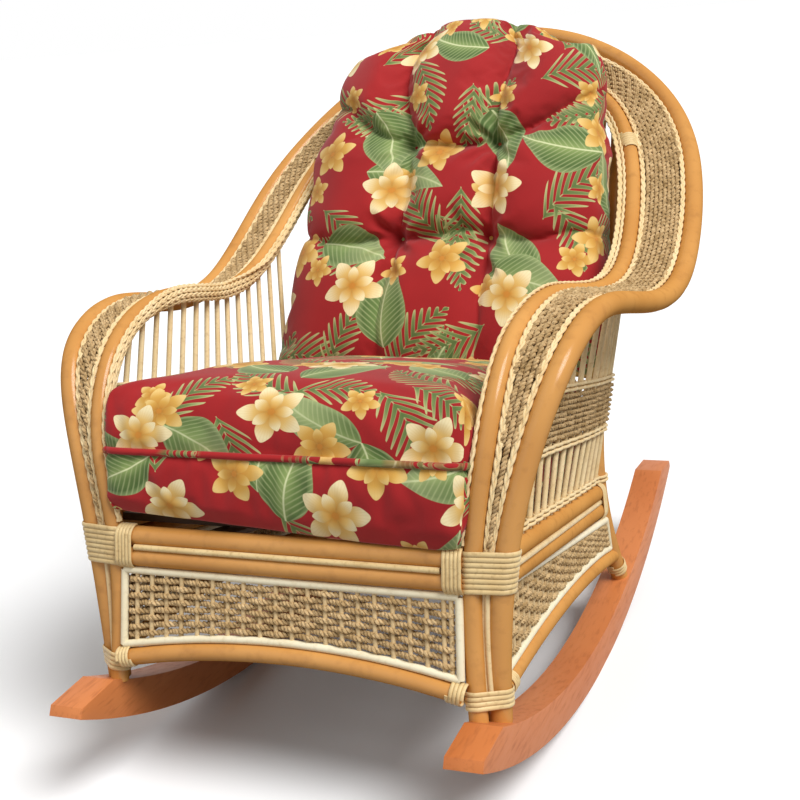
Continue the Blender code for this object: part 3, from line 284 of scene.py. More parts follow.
# gives each motif its own turned x and y, and a chance between 0 and 1
def scatter(where, spacing, jitter, shift):
    moved = vec("ADD", where, (*shift, 0.0))
    inputs = {"Vector": moved, "Scale": 1.0 / spacing, "Randomness": jitter}
    cells = newNode(where.tree, "TexVoronoi", inputs, voronoi_dimensions="2D", feature="F1").outputs
    angle, chance, _ = split("Color", Shade(cells["Color"]))
    offset = vec("SUBTRACT", moved, Shade(cells["Position"]))
    inputs = {"Vector": offset, "Angle": angle * (2 * math.pi)}
    turned = newNode(where.tree, "VectorRotate", inputs, rotation_type="Z_AXIS")
    x, y, _ = split("XYZ", Shade(turned.outputs[0]))
    return x, y, chance


def petals(radius, angle, size):
    count, waist, point = 5, 0.24, 0.10
    wave = abs(calc("COSINE", angle * (count / 2)))
    reach = wave ** 0.62 * (size * (1 - waist)) + size * waist + wave ** 14.0 * (size * point)
    return held((reach - radius) / 0.0009), wave


def addBlossoms(where, under, spacing, size, shift, tones):
    x, y, _ = scatter(where, spacing, 0.34, shift)
    radius = calc("SQRT", x * x + y * y)
    for scale, turned in ((1.0, 0.0), (0.64, math.pi / 5)):
        angle = calc("ARCTAN2", y, x) + turned
        edge, wave = petals(radius, angle, size * scale)
        vein = abs(calc("SINE", angle * 30.0)) ** 6.0
        tone = mixTone(vein * 0.16, ramp(radius / (size * scale), tones), (0.60, 0.40, 0.12))
        fold = (1.0 - wave) ** 1.7
        tone = mixTone(fold * 0.85, tone, (0.50, 0.26, 0.05))
        under = mixTone(edge, under, tone)
    heart = held((size * 0.13 - radius) / 0.0016)
    return mixTone(heart, under, (0.55, 0.22, 0.03))


def addLeaves(where, under, spacing, size, shift):
    length, width = size
    x, y, chance = scatter(where, spacing, 0.30, shift)
    share = x / length
    body = held(1.0 - share * share)
    reach = body ** 0.85 * (share * (-0.45 * width) + width)
    side = abs(x * x * 2.0 + (y - 0.003))
    over = held(side / calc("MAXIMUM", reach, 0.001))
    tone = ramp(over, ((0.0, (0.26, 0.34, 0.11)), (0.35, (0.12, 0.19, 0.05)), (0.75, (0.07, 0.125, 0.03)),
                       (1.0, (0.24, 0.31, 0.12))))
    rib = abs(calc("SINE", (side * -0.9 + x) * (math.pi / 0.0085))) ** 9.0
    tone = mixTone(rib * 0.55, tone, (0.42, 0.47, 0.22))
    spine = held((0.0017 - side) / 0.0009)
    tone = mixTone(spine, tone, (0.62, 0.66, 0.36))
    tone = mixTone(chance * 0.35, tone, (0.22, 0.28, 0.10))
    pale = held(share * 0.55 + (chance * 0.5 - 0.15))
    tone = mixTone(pale * 0.75, tone, (0.46, 0.51, 0.25))
    edge = held((reach - side) / 0.0010)
    return mixTone(edge, under, tone)


def addSprays(where, under, spacing, length, shift):
    x, y, _ = scatter(where, spacing, 0.28, shift)
    share = x / length
    body = held(1.0 - share * share)
    side = abs(x * x * 3.2 + (y - 0.008))
    inside = held(1.0 - side / calc("MAXIMUM", body * (length * 0.52), 0.001))
    blade = abs(calc("SINE", (side * -1.15 + x) * (math.pi / 0.0150)))
    fat = inside ** 0.55 * 0.52 + (blade - 1.0)
    onSpray = calc("GREATER_THAN", body, 0.02)
    spine = held((0.0011 - side) / 0.0006) * onSpray
    tone = ramp(inside, ((0.0, (0.46, 0.48, 0.20)), (0.5, (0.17, 0.23, 0.07)), (1.0, (0.10, 0.15, 0.04))))
    rim = held(1.0 - fat / 0.26)
    tone = mixTone(rim * 0.6, tone, (0.62, 0.56, 0.26))
    real = calc("GREATER_THAN", inside, 0.03) * onSpray
    edge = calc("MAXIMUM", held(fat / 0.10) * real, spine)
    return mixTone(edge, under, tone)


def printGroup():
    tree, given, out = newGroup("tropicalPrint", [("Place", "Vector", (0, 0, 0))], [("Color", "Color")])
    where = given["Place"]
    cloud = held(grain(where, 9.0, 3.0) * 1.6 - 0.5)
    tone = mixTone(cloud, clothPrint["ground"], clothPrint["deep"])
    for layer in clothPrint["sprays"]:
        tone = addSprays(where, tone, *layer)
    for layer in clothPrint["leaves"]:
        tone = addLeaves(where, tone, *layer)
    for kind, tones in (("buds", "gold"), ("blossoms", "cream")):
        for layer in clothPrint[kind]:
            tone = addBlossoms(where, tone, *layer, clothPrint[tones])
    put(tone, out["Color"])
    return tree


tropicalPrint = printGroup()


def printAt(where):
    return Shade(newNode(where.tree, "Group", {"Place": where}, node_tree=tropicalPrint).outputs["Color"])


def clothMaterial(name, coords, narrow=False):
    material, tree, shader = newMaterial(name, 0.82, Sheen_Weight=0.12, Sheen_Roughness=0.5,
                                         Specular_IOR_Level=0.25)
    where = coordinates(tree, coords)
    if narrow:  # a strip cut from the cloth shows its motifs in part
        x, y, z = split("XYZ", where)
        joined = newNode(tree, "CombineXYZ", {0: x, 1: z - y})
        shown = held(grain(where, 16.0, 1.0) * 5.0 - 2.0)
        tone = mixTone(shown, clothPrint["ground"], printAt(Shade(joined.outputs[0])))
    else:
        tone = printAt(where)
    put(tone, shader["Base Color"])
    threads = grain(where, 900.0, 2.0)
    put(bump(threads, 0.12, 0.0006), shader["Normal"])
    return material


printedCloth = clothMaterial("printedCloth", "UV")
printedWelt = clothMaterial("printedWelt", "Object", narrow=True)
print("cloth print made")


# lines of the frame

def unit(vectors):
    return vectors / np.linalg.norm(vectors, axis=-1, keepdims=True)


def lengthsOf(path):
    return np.concatenate([[0.0], np.cumsum(np.linalg.norm(np.diff(path, axis=0), axis=1))])


def readAt(values, lengths, at):
    return np.stack([np.interp(at, lengths, values[:, i]) for i in range(3)], axis=1)


def evenly(curve, step):
    curve = np.array(curve, float)
    lengths = lengthsOf(curve)
    return readAt(curve, lengths, np.linspace(0, lengths[-1], max(2, round(lengths[-1] / step) + 1)))


# a smooth curve through the points, like a bent cane
def bentLine(points, step):
    knots = np.array(points, float)
    gaps = np.linalg.norm(np.diff(knots, axis=0), axis=1)
    where = lengthsOf(knots)
    count = len(knots)
    system, right = np.eye(count), np.zeros((count, 3))
    for i in range(1, count - 1):
        system[i, i - 1:i + 2] = gaps[i - 1], 2 * (gaps[i - 1] + gaps[i]), gaps[i]
        right[i] = 6 * ((knots[i + 1] - knots[i]) / gaps[i] - (knots[i] - knots[i - 1]) / gaps[i - 1])
    bends = np.linalg.solve(system, right)
    spots = np.linspace(0, where[-1], 60 * count)
    cell = np.clip(np.searchsorted(where, spots, side="right") - 1, 0, count - 2)
    width = gaps[cell][:, None]
    left, done = (where[cell + 1] - spots)[:, None], (spots - where[cell])[:, None]
    curve = (bends[cell] * left ** 3 + bends[cell + 1] * done ** 3) / (6 * width)
    curve += (knots[cell] / width - bends[cell] * width / 6) * left
    curve += (knots[cell + 1] / width - bends[cell + 1] * width / 6) * done
    return evenly(curve, step)


def headings(path):
    return unit(np.gradient(np.array(path, float), axis=0))


def flip(points, side=-1):
    return np.array(points, float) * (side, 1, 1)


# a right half and its mirror image as one line
def mirrored(half):
    return np.vstack([half, flip(half[:-1])[::-1]])


def smoothed(points, times):
    for _ in range(times):
        points[1:-1] = (points[:-2] + 2 * points[1:-1] + points[2:]) / 4
    return points


def level(height):
    return np.array((0, 0, height))


def atHeight(path, height):
    i = int(np.argmax(path[:, 2] >= height))
    low, high = path[max(i - 1, 0)], path[i]
    share = (height - low[2]) / max(high[2] - low[2], 1e-9)
    return low + (high - low) * min(max(share, 0.0), 1.0)


def nearest(path, point):
    return int(np.argmin(np.linalg.norm(path - point, axis=1)))


rocker = {"radius": 1.20, "height": 0.050, "width": 0.048, "x": 0.267, "y": -0.102, "front": 16.4,
          "rear": 39.3, "nose": 0.065, "tip": 0.014, "edge": 0.0035, "steps": 72, "legSinks": 0.003}


def rockerTop(y):
    return rocker["radius"] - math.sqrt((rocker["radius"] - rocker["height"]) ** 2 - (y - rocker["y"]) ** 2)


# cuts a leg's line off at its rocker
def standing(path):
    above = [p[2] > rockerTop(p[1]) - rocker["legSinks"] for p in path]
    return path[[high or i > len(path) // 3 for i, high in enumerate(above)]]


pole = {"outer": 0.015, "inner": 0.012, "rear": 0.013, "rail": 0.013, "arch": 0.0115, "spoke": 0.004,
        "step": 0.004, "splice": 0.832}
outerWay = [(0.26934, -0.30135, 0.02241), (0.28637, -0.33986, 0.2874), (0.311, -0.338, 0.398),
            (0.341, -0.304, 0.501), (0.357, -0.208, 0.562), (0.368, -0.096, 0.575), (0.382, 0.038, 0.577),
            (0.392, 0.169, 0.609), (0.390, 0.275, 0.690), (0.376, 0.357, 0.779), (0.340, 0.440, 0.871),
            (0.264, 0.502, 0.962), (0.152, 0.526, 1.028), (0.0, 0.530, 1.052), (-0.152, 0.526, 1.028)]
innerWay = [(0.256, -0.338, 0.02948), (0.249, -0.351, 0.2874), (0.264, -0.357, 0.400),
            (0.274, -0.308, 0.513), (0.282, -0.200, 0.574), (0.288, -0.082, 0.588), (0.304, 0.053, 0.595),
            (0.309, 0.155, 0.628), (0.301, 0.255, 0.708), (0.283, 0.332, 0.797), (0.233, 0.420, 0.894),
            (0.136, 0.495, 0.960), (0.0, 0.519, 0.979), (-0.136, 0.495, 0.960)]
frontFootTop = rockerTop(innerWay[0][1])


def halfOf(points):
    path = bentLine(points, pole["step"])
    inside = path[path[:, 0] > 0.0]
    return np.vstack([inside[:-1], inside[-1] * (0, 1, 1)])


outer, inner = halfOf(outerWay), halfOf(innerWay)
halfway = len(inner) // 2
splice = halfway + nearest(inner[halfway:], atHeight(inner[halfway:], pole["splice"]))

rearLeg = {"seat": (0.257, 0.214, 0.279), "foot": (0.274, 0.318), "below": 0.045, "joint": 0.875,
           "bow": (0.002, -0.006, 0.0)}
rearFootTop = rockerTop(rearLeg["foot"][1])


def rearLine():
    late = inner[halfway:]
    joint = late[int(np.argmax(late[:, 2] >= rearLeg["joint"]))]
    seat, foot = np.array(rearLeg["seat"]), np.array((*rearLeg["foot"], rearFootTop))
    below = foot + unit(foot - seat) * rearLeg["below"]
    middle = (seat + joint) / 2 + rearLeg["bow"]
    end = joint - unit(joint - middle) * pole["inner"] / 2
    knots = [below, foot, foot * 0.45 + seat * 0.55, seat * 0.88 + middle * 0.12, middle, end]
    return bentLine(knots, pole["step"])


rear = rearLine()


# pieces from lines

def strandMesh(lines, radius, sides=12, thin=None):
    curve = bpy.data.curves.new("strand", "CURVE")
    curve.dimensions = "3D"
    curve.bevel_depth = radius
    curve.bevel_resolution = (sides - 4) // 2
    curve.use_fill_caps = True
    for i, line in enumerate(lines):
        spline = curve.splines.new("POLY")
        spline.points.add(len(line) - 1)
        spline.points.foreach_set("co", np.column_stack([line, np.ones(len(line))]).ravel())
        if thin is not None:
            spline.points.foreach_set("radius", np.ascontiguousarray(thin[i]))
    holder = bpy.data.objects.new("strand", curve)
    scene.collection.objects.link(holder)
    graph = bpy.context.evaluated_depsgraph_get()
    mesh = bpy.data.meshes.new_from_object(holder.evaluated_get(graph))
    bpy.data.objects.remove(holder)
    bpy.data.curves.remove(curve)
    return mesh


def addPiece(name, mesh, material, stands=(), close=True):
    if close:
        joined = bmesh.new()
        joined.from_mesh(mesh)
        bmesh.ops.remove_doubles(joined, verts=joined.verts, dist=0.00002)
        bmesh.ops.recalc_face_normals(joined, faces=joined.faces)
        joined.to_mesh(mesh)
        joined.free()
    mesh.transform(rest)
    mesh.shade_smooth()
    mesh.set_sharp_from_angle(angle=math.radians(50))
    mesh.materials.clear()
    mesh.materials.append(material)
    piece = bpy.data.objects.new(name, mesh)
    scene.collection.objects.link(piece)
    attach(piece, "root")
    if stands:
        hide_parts(*stands)
    return piece


def fromBmesh(shape):
    mesh = bpy.data.meshes.new("shape")
    shape.to_mesh(mesh)
    shape.free()
    return mesh


def addPole(name, line, radius, material=honeyPole, stands=(), sides=18):
    return addPiece(name, strandMesh([line], radius, sides), material, stands)


sides = (("left", -1), ("right", 1))


def addPoles():
    addPole("innerHoop", mirrored(inner[splice:]), pole["inner"], stands=["inner_hoop"])
    legs = (("outerPole", "outer_pole", outer, "outer"),
            ("innerPole", "inner_pole", inner[:splice + 1], "inner"),
            ("rearLeg", "rear_leg", rear, "rear"))
    for word, side in sides:
        for name, node, path, kind in legs:
            addPole(f"{name}.{word}", flip(standing(path), side), pole[kind], stands=[f"{node}_{word}"])


addPoles()

rails = {"front": {"upper": 0.272, "lower": 0.245}, "other": {"upper": 0.279, "lower": 0.252},
         "frontY": -0.352, "frontReach": 0.2365, "step": 0.02, "strip": 0.004, "stripReach": 0.2106,
         "stripOut": 0.0105, "stripShort": 0.02}
sideFront, sideRear = np.array((0.282, -0.3187, 0.0)), np.array((*rearLeg["seat"][:2], 0.0))


def straight(start, end):
    return evenly([start, end], rails["step"])


def groove(pair):
    return (rails[pair]["upper"] + rails[pair]["lower"]) / 2


def addRails():
    reach, y = rails["frontReach"], rails["frontY"]
    for word, height in rails["front"].items():
        line = straight((-reach, y, height), (reach, y, height))
        addPole(f"frontRail.{word}", line, pole["rail"], stands=[f"front_rail_{word}"])
    for word, height in rails["other"].items():
        leg = atHeight(rear, height)
        addPole(f"backRail.{word}", straight(flip(leg), leg), pole["rail"], stands=[f"back_rail_{word}"])
        line = straight(sideFront + level(height), (leg[0], leg[1], height))
        for name, side in sides:
            addPole(f"sideRail.{word}.{name}", flip(line, side), pole["rail"],
                    stands=[f"side_rail_{word}_{name}"])


def addRailStrips():
    reach, y, height = rails["stripReach"], rails["frontY"] - rails["stripOut"], groove("front")
    line = straight((-reach, y, height), (reach, y, height))
    addPole("frontStrip", line, rails["strip"], creamPeel, ["front_rail_strip"], 10)
    along = sideRear - sideFront
    out = unit(np.array((along[1], -along[0], 0.0))) * rails["stripOut"] + level(groove("other"))
    line = straight(sideFront + out, sideRear - along * rails["stripShort"] + out)
    for word, side in sides:
        addPole(f"sideStrip.{word}", flip(line, side), rails["strip"], creamPeel,
                [f"side_rail_strip_{word}"], 10)


addRails()
addRailStrips()
print("poles and rails made")


# rockers: a section spun round the rolling centre, with the noses cut on the slant
def addRockers():
    radius, height = rocker["radius"], rocker["height"]
    front, back = -math.radians(rocker["front"]), math.radians(rocker["rear"])
    centre = Vector((0, rocker["y"], radius))

    def onArc(angle, distance):
        return centre + Vector((0, math.sin(angle), -math.cos(angle))) * distance

    for word, side in sides:
        shape = bmesh.new()
        made = bmesh.ops.create_grid(shape, x_segments=1, y_segments=1, size=0.5)["verts"]
        bmesh.ops.scale(shape, vec=(rocker["width"], height, 1), verts=made)
        bmesh.ops.rotate(shape, cent=(0, 0, 0), matrix=Matrix.Rotation(math.pi / 2, 3, "X"), verts=made)
        bmesh.ops.translate(shape, vec=(side * rocker["x"], rocker["y"], height / 2), verts=made)
        bmesh.ops.rotate(shape, cent=centre, matrix=Matrix.Rotation(front, 3, "X"), verts=made)
        bmesh.ops.spin(shape, geom=shape.faces[:] + shape.edges[:] + shape.verts[:], cent=centre,
                       axis=(1, 0, 0), angle=back - front, steps=rocker["steps"])
        bmesh.ops.recalc_face_normals(shape, faces=shape.faces)
        for end, way in ((front, 1), (back, -1)):
            low = onArc(end, radius - rocker["tip"])
            high = onArc(end + way * rocker["nose"] / radius, radius - height)
            slant = (high - low).normalized()
            bmesh.ops.bisect_plane(shape, geom=shape.faces[:] + shape.edges[:] + shape.verts[:], plane_co=low,
                                   plane_no=Vector((0, -slant.z, slant.y)) * way, clear_outer=True)
            bmesh.ops.holes_fill(shape, edges=[e for e in shape.edges if e.is_boundary], sides=0)
        bmesh.ops.recalc_face_normals(shape, faces=shape.faces)
        sharp = [e for e in shape.edges if len(e.link_faces) == 2 and e.calc_face_angle(0) > math.radians(25)]
        bmesh.ops.bevel(shape, geom=sharp, offset=rocker["edge"], offset_type="OFFSET", segments=3,
                        profile=0.5, affect="EDGES", material=-1, clamp_overlap=True)
        addPiece(f"rocker.{word}", fromBmesh(shape), rockerWood, [f"rocker_{word}"],
                 close=False)


addRockers()
print("rockers made")


# ropes and braids

plait = {"strand": 0.0019, "aside": 0.0023, "above": 0.0008, "lay": 0.048, "wide": 0.0083}


# two plies laid round each other
def twisted(path, across, face, ply, lay, start=0.0):
    lines = []
    for k in range(2):
        turn = 2 * math.pi * (lengthsOf(path) / lay + k / 2) + start
        lines.append(path + ply * 0.92 * (np.cos(turn)[:, None] * across + np.sin(turn)[:, None] * face))
    return lines


# three strands plaited flat
def plaited(path, across, face, start=0.0, size=1.0):
    lines = []
    for k in range(3):
        turn = 2 * math.pi * (lengthsOf(path) / plait["lay"] + k / 3) + start
        aside, above = np.sin(turn) * size * plait["aside"], np.sin(2 * turn) * size * plait["above"]
        lines.append(path + aside[:, None] * across + above[:, None] * face)
    return lines


# woven bands between the poles; where one is narrow its plaits are smaller
band = {"start": 0.278, "armEnd": 0.5, "crownStart": 0.5025, "gap": 0.0006, "station": 0.0019, "lay": 0.0135,
        "wave": 0.0115, "weave": 0.0021, "ply": 0.0021, "row": 0.0066, "lift": 0.0050, "swell": 0.0016,
        "stake": 0.0042, "stakeRadius": 0.0022, "stakePast": 0.003, "stakeLift": 0.0012, "over": 0.0018,
        "spare": 0.005, "fullWidth": 0.020, "leastPlait": 0.72, "leastRun": 8}


def bandStations(start, stop):
    first, last = (int(share * (len(outer) - 1)) for share in (start, stop))
    out = outer[first:last + 1]
    near = smoothed(np.array([inner[nearest(inner, p)] for p in out]), 6)
    across = unit(near - out)
    face = unit(np.cross(headings(outer)[first:last + 1], across))
    edgeA, edgeB = out + across * (pole["outer"] + band["gap"]), near - across * (pole["inner"] + band["gap"])
    return edgeA, edgeB, across, face


def layBand(edgeA, edgeB, across, face):
    lengths = lengthsOf((edgeA + edgeB) / 2)
    at = np.arange(0, lengths[-1], band["station"])
    a, b, across, face = (readAt(v, lengths, at) for v in (edgeA, edgeB, across, face))
    across, face = unit(across), unit(face)
    width = np.linalg.norm(b - a, axis=1)
    plaitSize = np.clip(width / band["fullWidth"], band["leastPlait"], 1.0)
    plaitWide = plaitSize * plait["wide"]
    clear = width - 2 * plaitWide + band["spare"] + 2 * band["over"]
    count = math.ceil(clear.max() / band["row"])
    ropes, stakes, plaits = [], [], []
    for j in range(count):
        aside = (j - (count - 1) / 2) * band["row"]
        swell = band["lift"] + band["swell"] * (1 - (2 * aside / width) ** 2)
        waves = np.cos(math.pi * (at / band["wave"] + j)) * band["weave"]
        path = (a + b) / 2 + across * aside + face * (swell + waves)[:, None]
        inside = np.flatnonzero(np.abs(aside) < clear / 2 - band["row"] * 0.12)
        for run in np.split(inside, np.flatnonzero(np.diff(inside) > 1) + 1):
            if len(run) > band["leastRun"]:
                ropes += twisted(path[run], across[run], face[run], band["ply"] * 0.9, band["lay"], j * 1.3)
    # the stakes lie behind the ropes and are coloured as painted shade in the gaps between them
    for s in np.arange(band["stake"] / 2, lengths[-1], band["stake"]):
        k = min(int(s / band["station"]), len(at) - 1)
        past, lift = across[k] * band["stakePast"], face[k] * band["stakeLift"]
        stakes.append(np.array([a[k] - past + lift, b[k] + past + lift]))
    for edge, way in ((a, 1), (b, -1)):
        aside = way * (plaitWide / 2 - band["over"])
        path = edge + across * aside[:, None] + face * (band["lift"] + band["swell"])
        plaits += plaited(path, across, face, size=plaitSize)
    return ropes, stakes, plaits, [plaitSize] * len(plaits)


def addBands():
    start = (nearest(outer, atHeight(outer, band["start"])) + 1) / (len(outer) - 1)
    arm = bandStations(start, band["armEnd"])
    found = [(f"arm.{word}", [flip(v, side) for v in arm], f"arm_band_{word}") for word, side in sides]
    found.append(("crown", [mirrored(v) for v in bandStations(band["crownStart"], 1.0)], "back_band"))
    for name, lines, node in found:
        ropes, stakes, plaits, thick = layBand(*lines)
        addPiece(f"bandRopes.{name}", strandMesh(ropes, band["ply"], 6), seagrassRope, [node])
        addPiece(f"bandStakes.{name}", strandMesh(stakes, band["stakeRadius"], 6), paintedShadeStake, ())
        mesh = strandMesh(plaits, plait["strand"], 8, thick)
        addPiece(f"bandBraid.{name}", mesh, creamReed, ())


addBands()

# plaits along the inside of the inner pole; each row has a late start, a tilt in degrees and a turn
braid = {"foot": 0.287, "rows": ((0, -10, 0.0), (6, 20, 1.1), (12, 50, 2.3), (22, 80, 0.6)), "roll": 34,
         "armEnd": (0.305, 0.19, 0.65), "fifth": (-45, -4, 1.7), "further": 0.0062, "eases": 30,
         "step": 0.0024}


def addInnerBraid():
    near = smoothed(np.array([outer[nearest(outer, p)] for p in inner]), 8)
    across = unit(inner - near)
    face = unit(np.cross(headings(inner), across))
    first = nearest(inner, atHeight(inner, braid["foot"]))
    rows = [(first + late, tilt, turn, 0.0) for late, tilt, turn in braid["rows"]]
    late, tilt, turn = braid["fifth"]
    rows.append((nearest(inner, np.array(braid["armEnd"])) + late, tilt, turn, braid["further"]))
    onArm = np.clip((inner[:, 1] + 0.24) / 0.10, 0, 1) * np.clip((0.17 - inner[:, 1]) / 0.10, 0, 1)
    lines = []
    for begin, tilt, turn, further in rows:
        turned = np.radians(tilt - braid["roll"] * onArm)[:, None]
        aside = across * np.cos(turned) - face * np.sin(turned)
        eased = further * np.clip((np.arange(len(inner)) - begin) / braid["eases"], 0, 1)
        reach = pole["inner"] + plait["strand"] * 1.4 + eased
        path = evenly((inner + aside * reach[:, None])[begin:], braid["step"])
        where, coarse = lengthsOf(path), lengthsOf(inner[begin:])
        outAt = unit(readAt(aside[begin:], coarse, where * coarse[-1] / where[-1]))
        flat = unit(np.cross(headings(path), outAt))
        lines += plaited(path, outAt, flat, turn) if further else plaited(path, flat, outAt, turn)
    for word, side in sides:
        mesh = strandMesh([flip(line, side) for line in lines], plait["strand"], 6)
        addPiece(f"innerBraid.{word}", mesh, creamReed, ())


addInnerBraid()
print("bands and braids made")


# framed aprons below the seat

apron = {"rows": 8, "stake": 0.0225, "post": 0.0032, "ply": 0.0022, "lay": 0.0115, "weave": 0.0030,
         "frame": 0.0052, "proud": 0.0012, "wander": 0.0012, "archFront": 0.109, "archRear": 0.03856,
         "rise": 0.024, "sideRise": 0.020, "aboveArch": 0.0005, "top": 0.2312, "foot": 0.12,
         "belowRail": 0.0133, "frontIn": 0.0172, "frontPast": 0.003, "frontWider": 0.003, "frontGap": 0.0008,
         "rearGap": 0.0006, "sideGap": 0.0009, "sideIn": 0.0212, "sidePast": 0.018, "sideTopIn": 0.0160,
         "sideFootOut": 0.004}


def drawnIn(corners, normal, distance):
    count = len(corners)
    edges = [corners[(i + 1) % count] - corners[i] for i in range(count)]
    inward = [np.cross(normal, unit(e)) for e in edges]
    middle = np.mean(corners, axis=0)
    area = sum(np.cross(corners[i] - middle, edges[i]) @ normal for i in range(count))
    moved = []
    for i in range(count):
        step = unit(inward[i - 1] + inward[i])
        moved.append(corners[i] + math.copysign(1.0, area) * step / max(step @ inward[i], 0.3) * distance)
    return np.array(moved)


def weavePanel(name, outline, normal, stands, wider=0.0):
    normal = unit(np.array(normal, float))
    line = drawnIn(outline, normal, apron["frame"] - 0.0006) + normal * apron["proud"]
    aside = unit(line[-1] - line[0]) * wider
    line[:2] -= aside
    line[-2:] += aside
    bars = [straight(line[0], line[-1]), bentLine(line[1:-1], 0.006), straight(line[0], line[1]),
            straight(line[-1], line[-2])]
    mesh = strandMesh(bars, apron["frame"], 12)
    addPiece(f"apronFrame.{name}", mesh, paleFrame, [stands + "_frame"])
    inside = drawnIn(outline, normal, apron["frame"] * 2 - 0.0012)
    bottom = bentLine(inside[1:-1], 0.0016)
    shares = np.linspace(0, 1, len(bottom))[:, None]
    top = inside[0] * (1 - shares) + inside[-1] * shares
    up = unit(top - bottom)
    run = lengthsOf(bottom)
    count = max(2, round(run[-1] / apron["stake"]))
    ropes, stakes = [], []
    for k in range(apron["rows"]):
        t = (k + 0.75) / (apron["rows"] + 0.5)
        waves = np.cos(math.pi * (run / run[-1] * count + 0.5 + k)) * apron["weave"]
        wander = np.array([noise.noise((s * 22.0, k * 3.7, 0.5)) * apron["wander"] for s in run])
        path = bottom * (1 - t) + top * t + normal * waves[:, None] + up * wander[:, None]
        ropes += twisted(path, up, normal, apron["ply"], apron["lay"], k * 2.1)
    last = len(bottom) - 1
    for i in range(count + 1):
        k = min(int((i + 0.5) / count * last), last) if i < count else last - 2
        stakes.append(np.array([bottom[k], top[k]]))
    mesh = strandMesh(ropes, apron["ply"] * 1.06, 6)
    addPiece(f"apronRopes.{name}", mesh, seagrassRope, [stands + "_weave"])
    addPiece(f"apronStakes.{name}", strandMesh(stakes, apron["post"], 8), tanStake, ())


def arched(low, high, rise, steps=8):
    shares = np.linspace(0, 1, steps + 1)
    return np.array([low * (1 - s) + high * s + (0, 0, rise * (1 - (2 * s - 1) ** 2)) for s in shares])


archRear = rearFootTop + apron["archRear"]
aboveArch = pole["arch"] + apron["aboveArch"]
legTop, legLow = atHeight(rear, rails["other"]["lower"]), atHeight(rear, archRear)
legSlope = (legLow[1] - legTop[1]) / (legTop[2] - legLow[2])
steep = math.hypot(1, legSlope)
sideArch = arched(atHeight(outer, apron["archFront"]) + (0, apron["sideIn"], 0), legLow, apron["sideRise"])


def addFrontApron():
    y, height, top = rails["frontY"], apron["archFront"], apron["top"]
    reach = atHeight(inner, height)[0] - apron["frontIn"]
    arch = arched(np.array((-reach, y, height)), np.array((reach, y, height)), apron["rise"])
    past = unit(arch[-1] - arch[-2]) * apron["frontPast"]
    line = bentLine([arch[0] + flip(past), *arch, arch[-1] + past], 0.01)
    addPole("frontArch", line, pole["arch"], stands=["front_arch_rail"])
    beside = pole["inner"] + apron["frontGap"]
    corner, foot = (atHeight(inner, z)[0] - beside for z in (top, apron["foot"]))
    low = arch * (foot / reach, 1, 1) + level(aboveArch)
    outline = [np.array((-corner, y, top)), *low, np.array((corner, y, top))]
    weavePanel("front", outline, (0, -1, 0), "front_apron", apron["frontWider"])


def addBackApron():
    def onSlope(x, z):
        return np.array((x, legTop[1] + legSlope * (legTop[2] - z), z))

    reach = legLow[0]
    across = np.linspace(-reach, reach, 9)
    arch = [onSlope(x, archRear + apron["rise"] * (1 - (x / reach) ** 2)) for x in across]
    addPole("backArch", bentLine(arch, 0.01), pole["arch"], stands=["back_arch_rail"])
    top = rails["other"]["lower"] - apron["belowRail"] / steep
    beside = pole["rear"] + apron["rearGap"]
    low = [onSlope(x * (reach - beside) / reach, z + aboveArch / steep) for x, _, z in arch]
    corner = atHeight(rear, top)[0] - beside
    outline = [onSlope(-corner, top), *low, onSlope(corner, top)]
    weavePanel("back", outline, (0, 1, legSlope), "back_apron")


def addSideAprons():
    start, ahead = sideArch[0], sideArch[-1] - sideArch[0]
    top = rails["other"]["lower"] - apron["belowRail"]
    pastLeg = pole["rear"] * steep + apron["sideGap"]

    def onSide(y, z):
        return np.array((start[0] + ahead[0] * (y - start[1]) / ahead[1], y, z))

    past = unit(sideArch[0] - sideArch[1]) * apron["sidePast"]
    arch = bentLine([sideArch[0] + past, *sideArch], 0.01)
    low = [p + level(aboveArch) for p in sideArch]
    low[-1] = onSide(atHeight(rear, low[-1][2])[1] - pastLeg, low[-1][2])
    low[0] = onSide(low[0][1] - apron["sideFootOut"], low[0][2])
    frontTop = onSide(atHeight(outer, top)[1] + apron["sideTopIn"], top)
    outline = [frontTop, *low, onSide(atHeight(rear, top)[1] - pastLeg, top)]
    for word, side in sides:
        addPole(f"sideArch.{word}", flip(arch, side), pole["arch"], stands=[f"side_arch_rail_{word}"])
        weavePanel(f"side.{word}", [flip(p, side) for p in outline], flip((ahead[1], -ahead[0], 0), side),
                   f"side_apron_{word}")


addFrontApron()
addBackApron()
addSideAprons()
print("aprons made")


# wicker panels under the arms and in the back

wicker = {"ply": 0.0017, "lay": 0.0105, "cream": 0.0024, "row": 0.0072, "wander": 0.0016, "rise": 0.0012,
          "step": 0.0026, "into": 0.95, "armFront": 0.540, "armRear": (0.575, 0.655)}
sidePanel = {"spokes": 14, "band": (0.391, 0.451), "cream": (0.298, 0.304, 0.379, 0.3855, 0.4563, 0.4628)}
backPanel = {"spokes": 10, "band": (0.52, 0.64), "cream": (0.298, 0.304, 0.508, 0.5145, 0.6455, 0.652),
             "halfWidth": 0.244}


# a spoke runs from inside its rail to just inside the pole that it meets
def spokeEnds(foot, path, share):
    i = int(round((len(path) - 1) * share))
    aim = unit(path[i] - foot)
    lean = abs(aim @ headings(path)[i])
    head = path[i] - aim * ((pole["inner"] + pole["spoke"] * lean) / math.sqrt(1 - lean ** 2) - 0.002)
    return foot + unit(head - foot) * pole["rail"] * wicker["into"], head


def twine(posts, phase):
    count = len(posts) - 2  # the first and last are the poles that the row ends in
    where = np.linspace(-1, count, 12 * (count + 2))
    row = readAt(posts, np.arange(-1, count + 1), where)
    still = np.clip(where + 1, 0, 1) * np.clip(count - where, 0, 1)
    return row, np.cos(math.pi * (where + phase)) * still


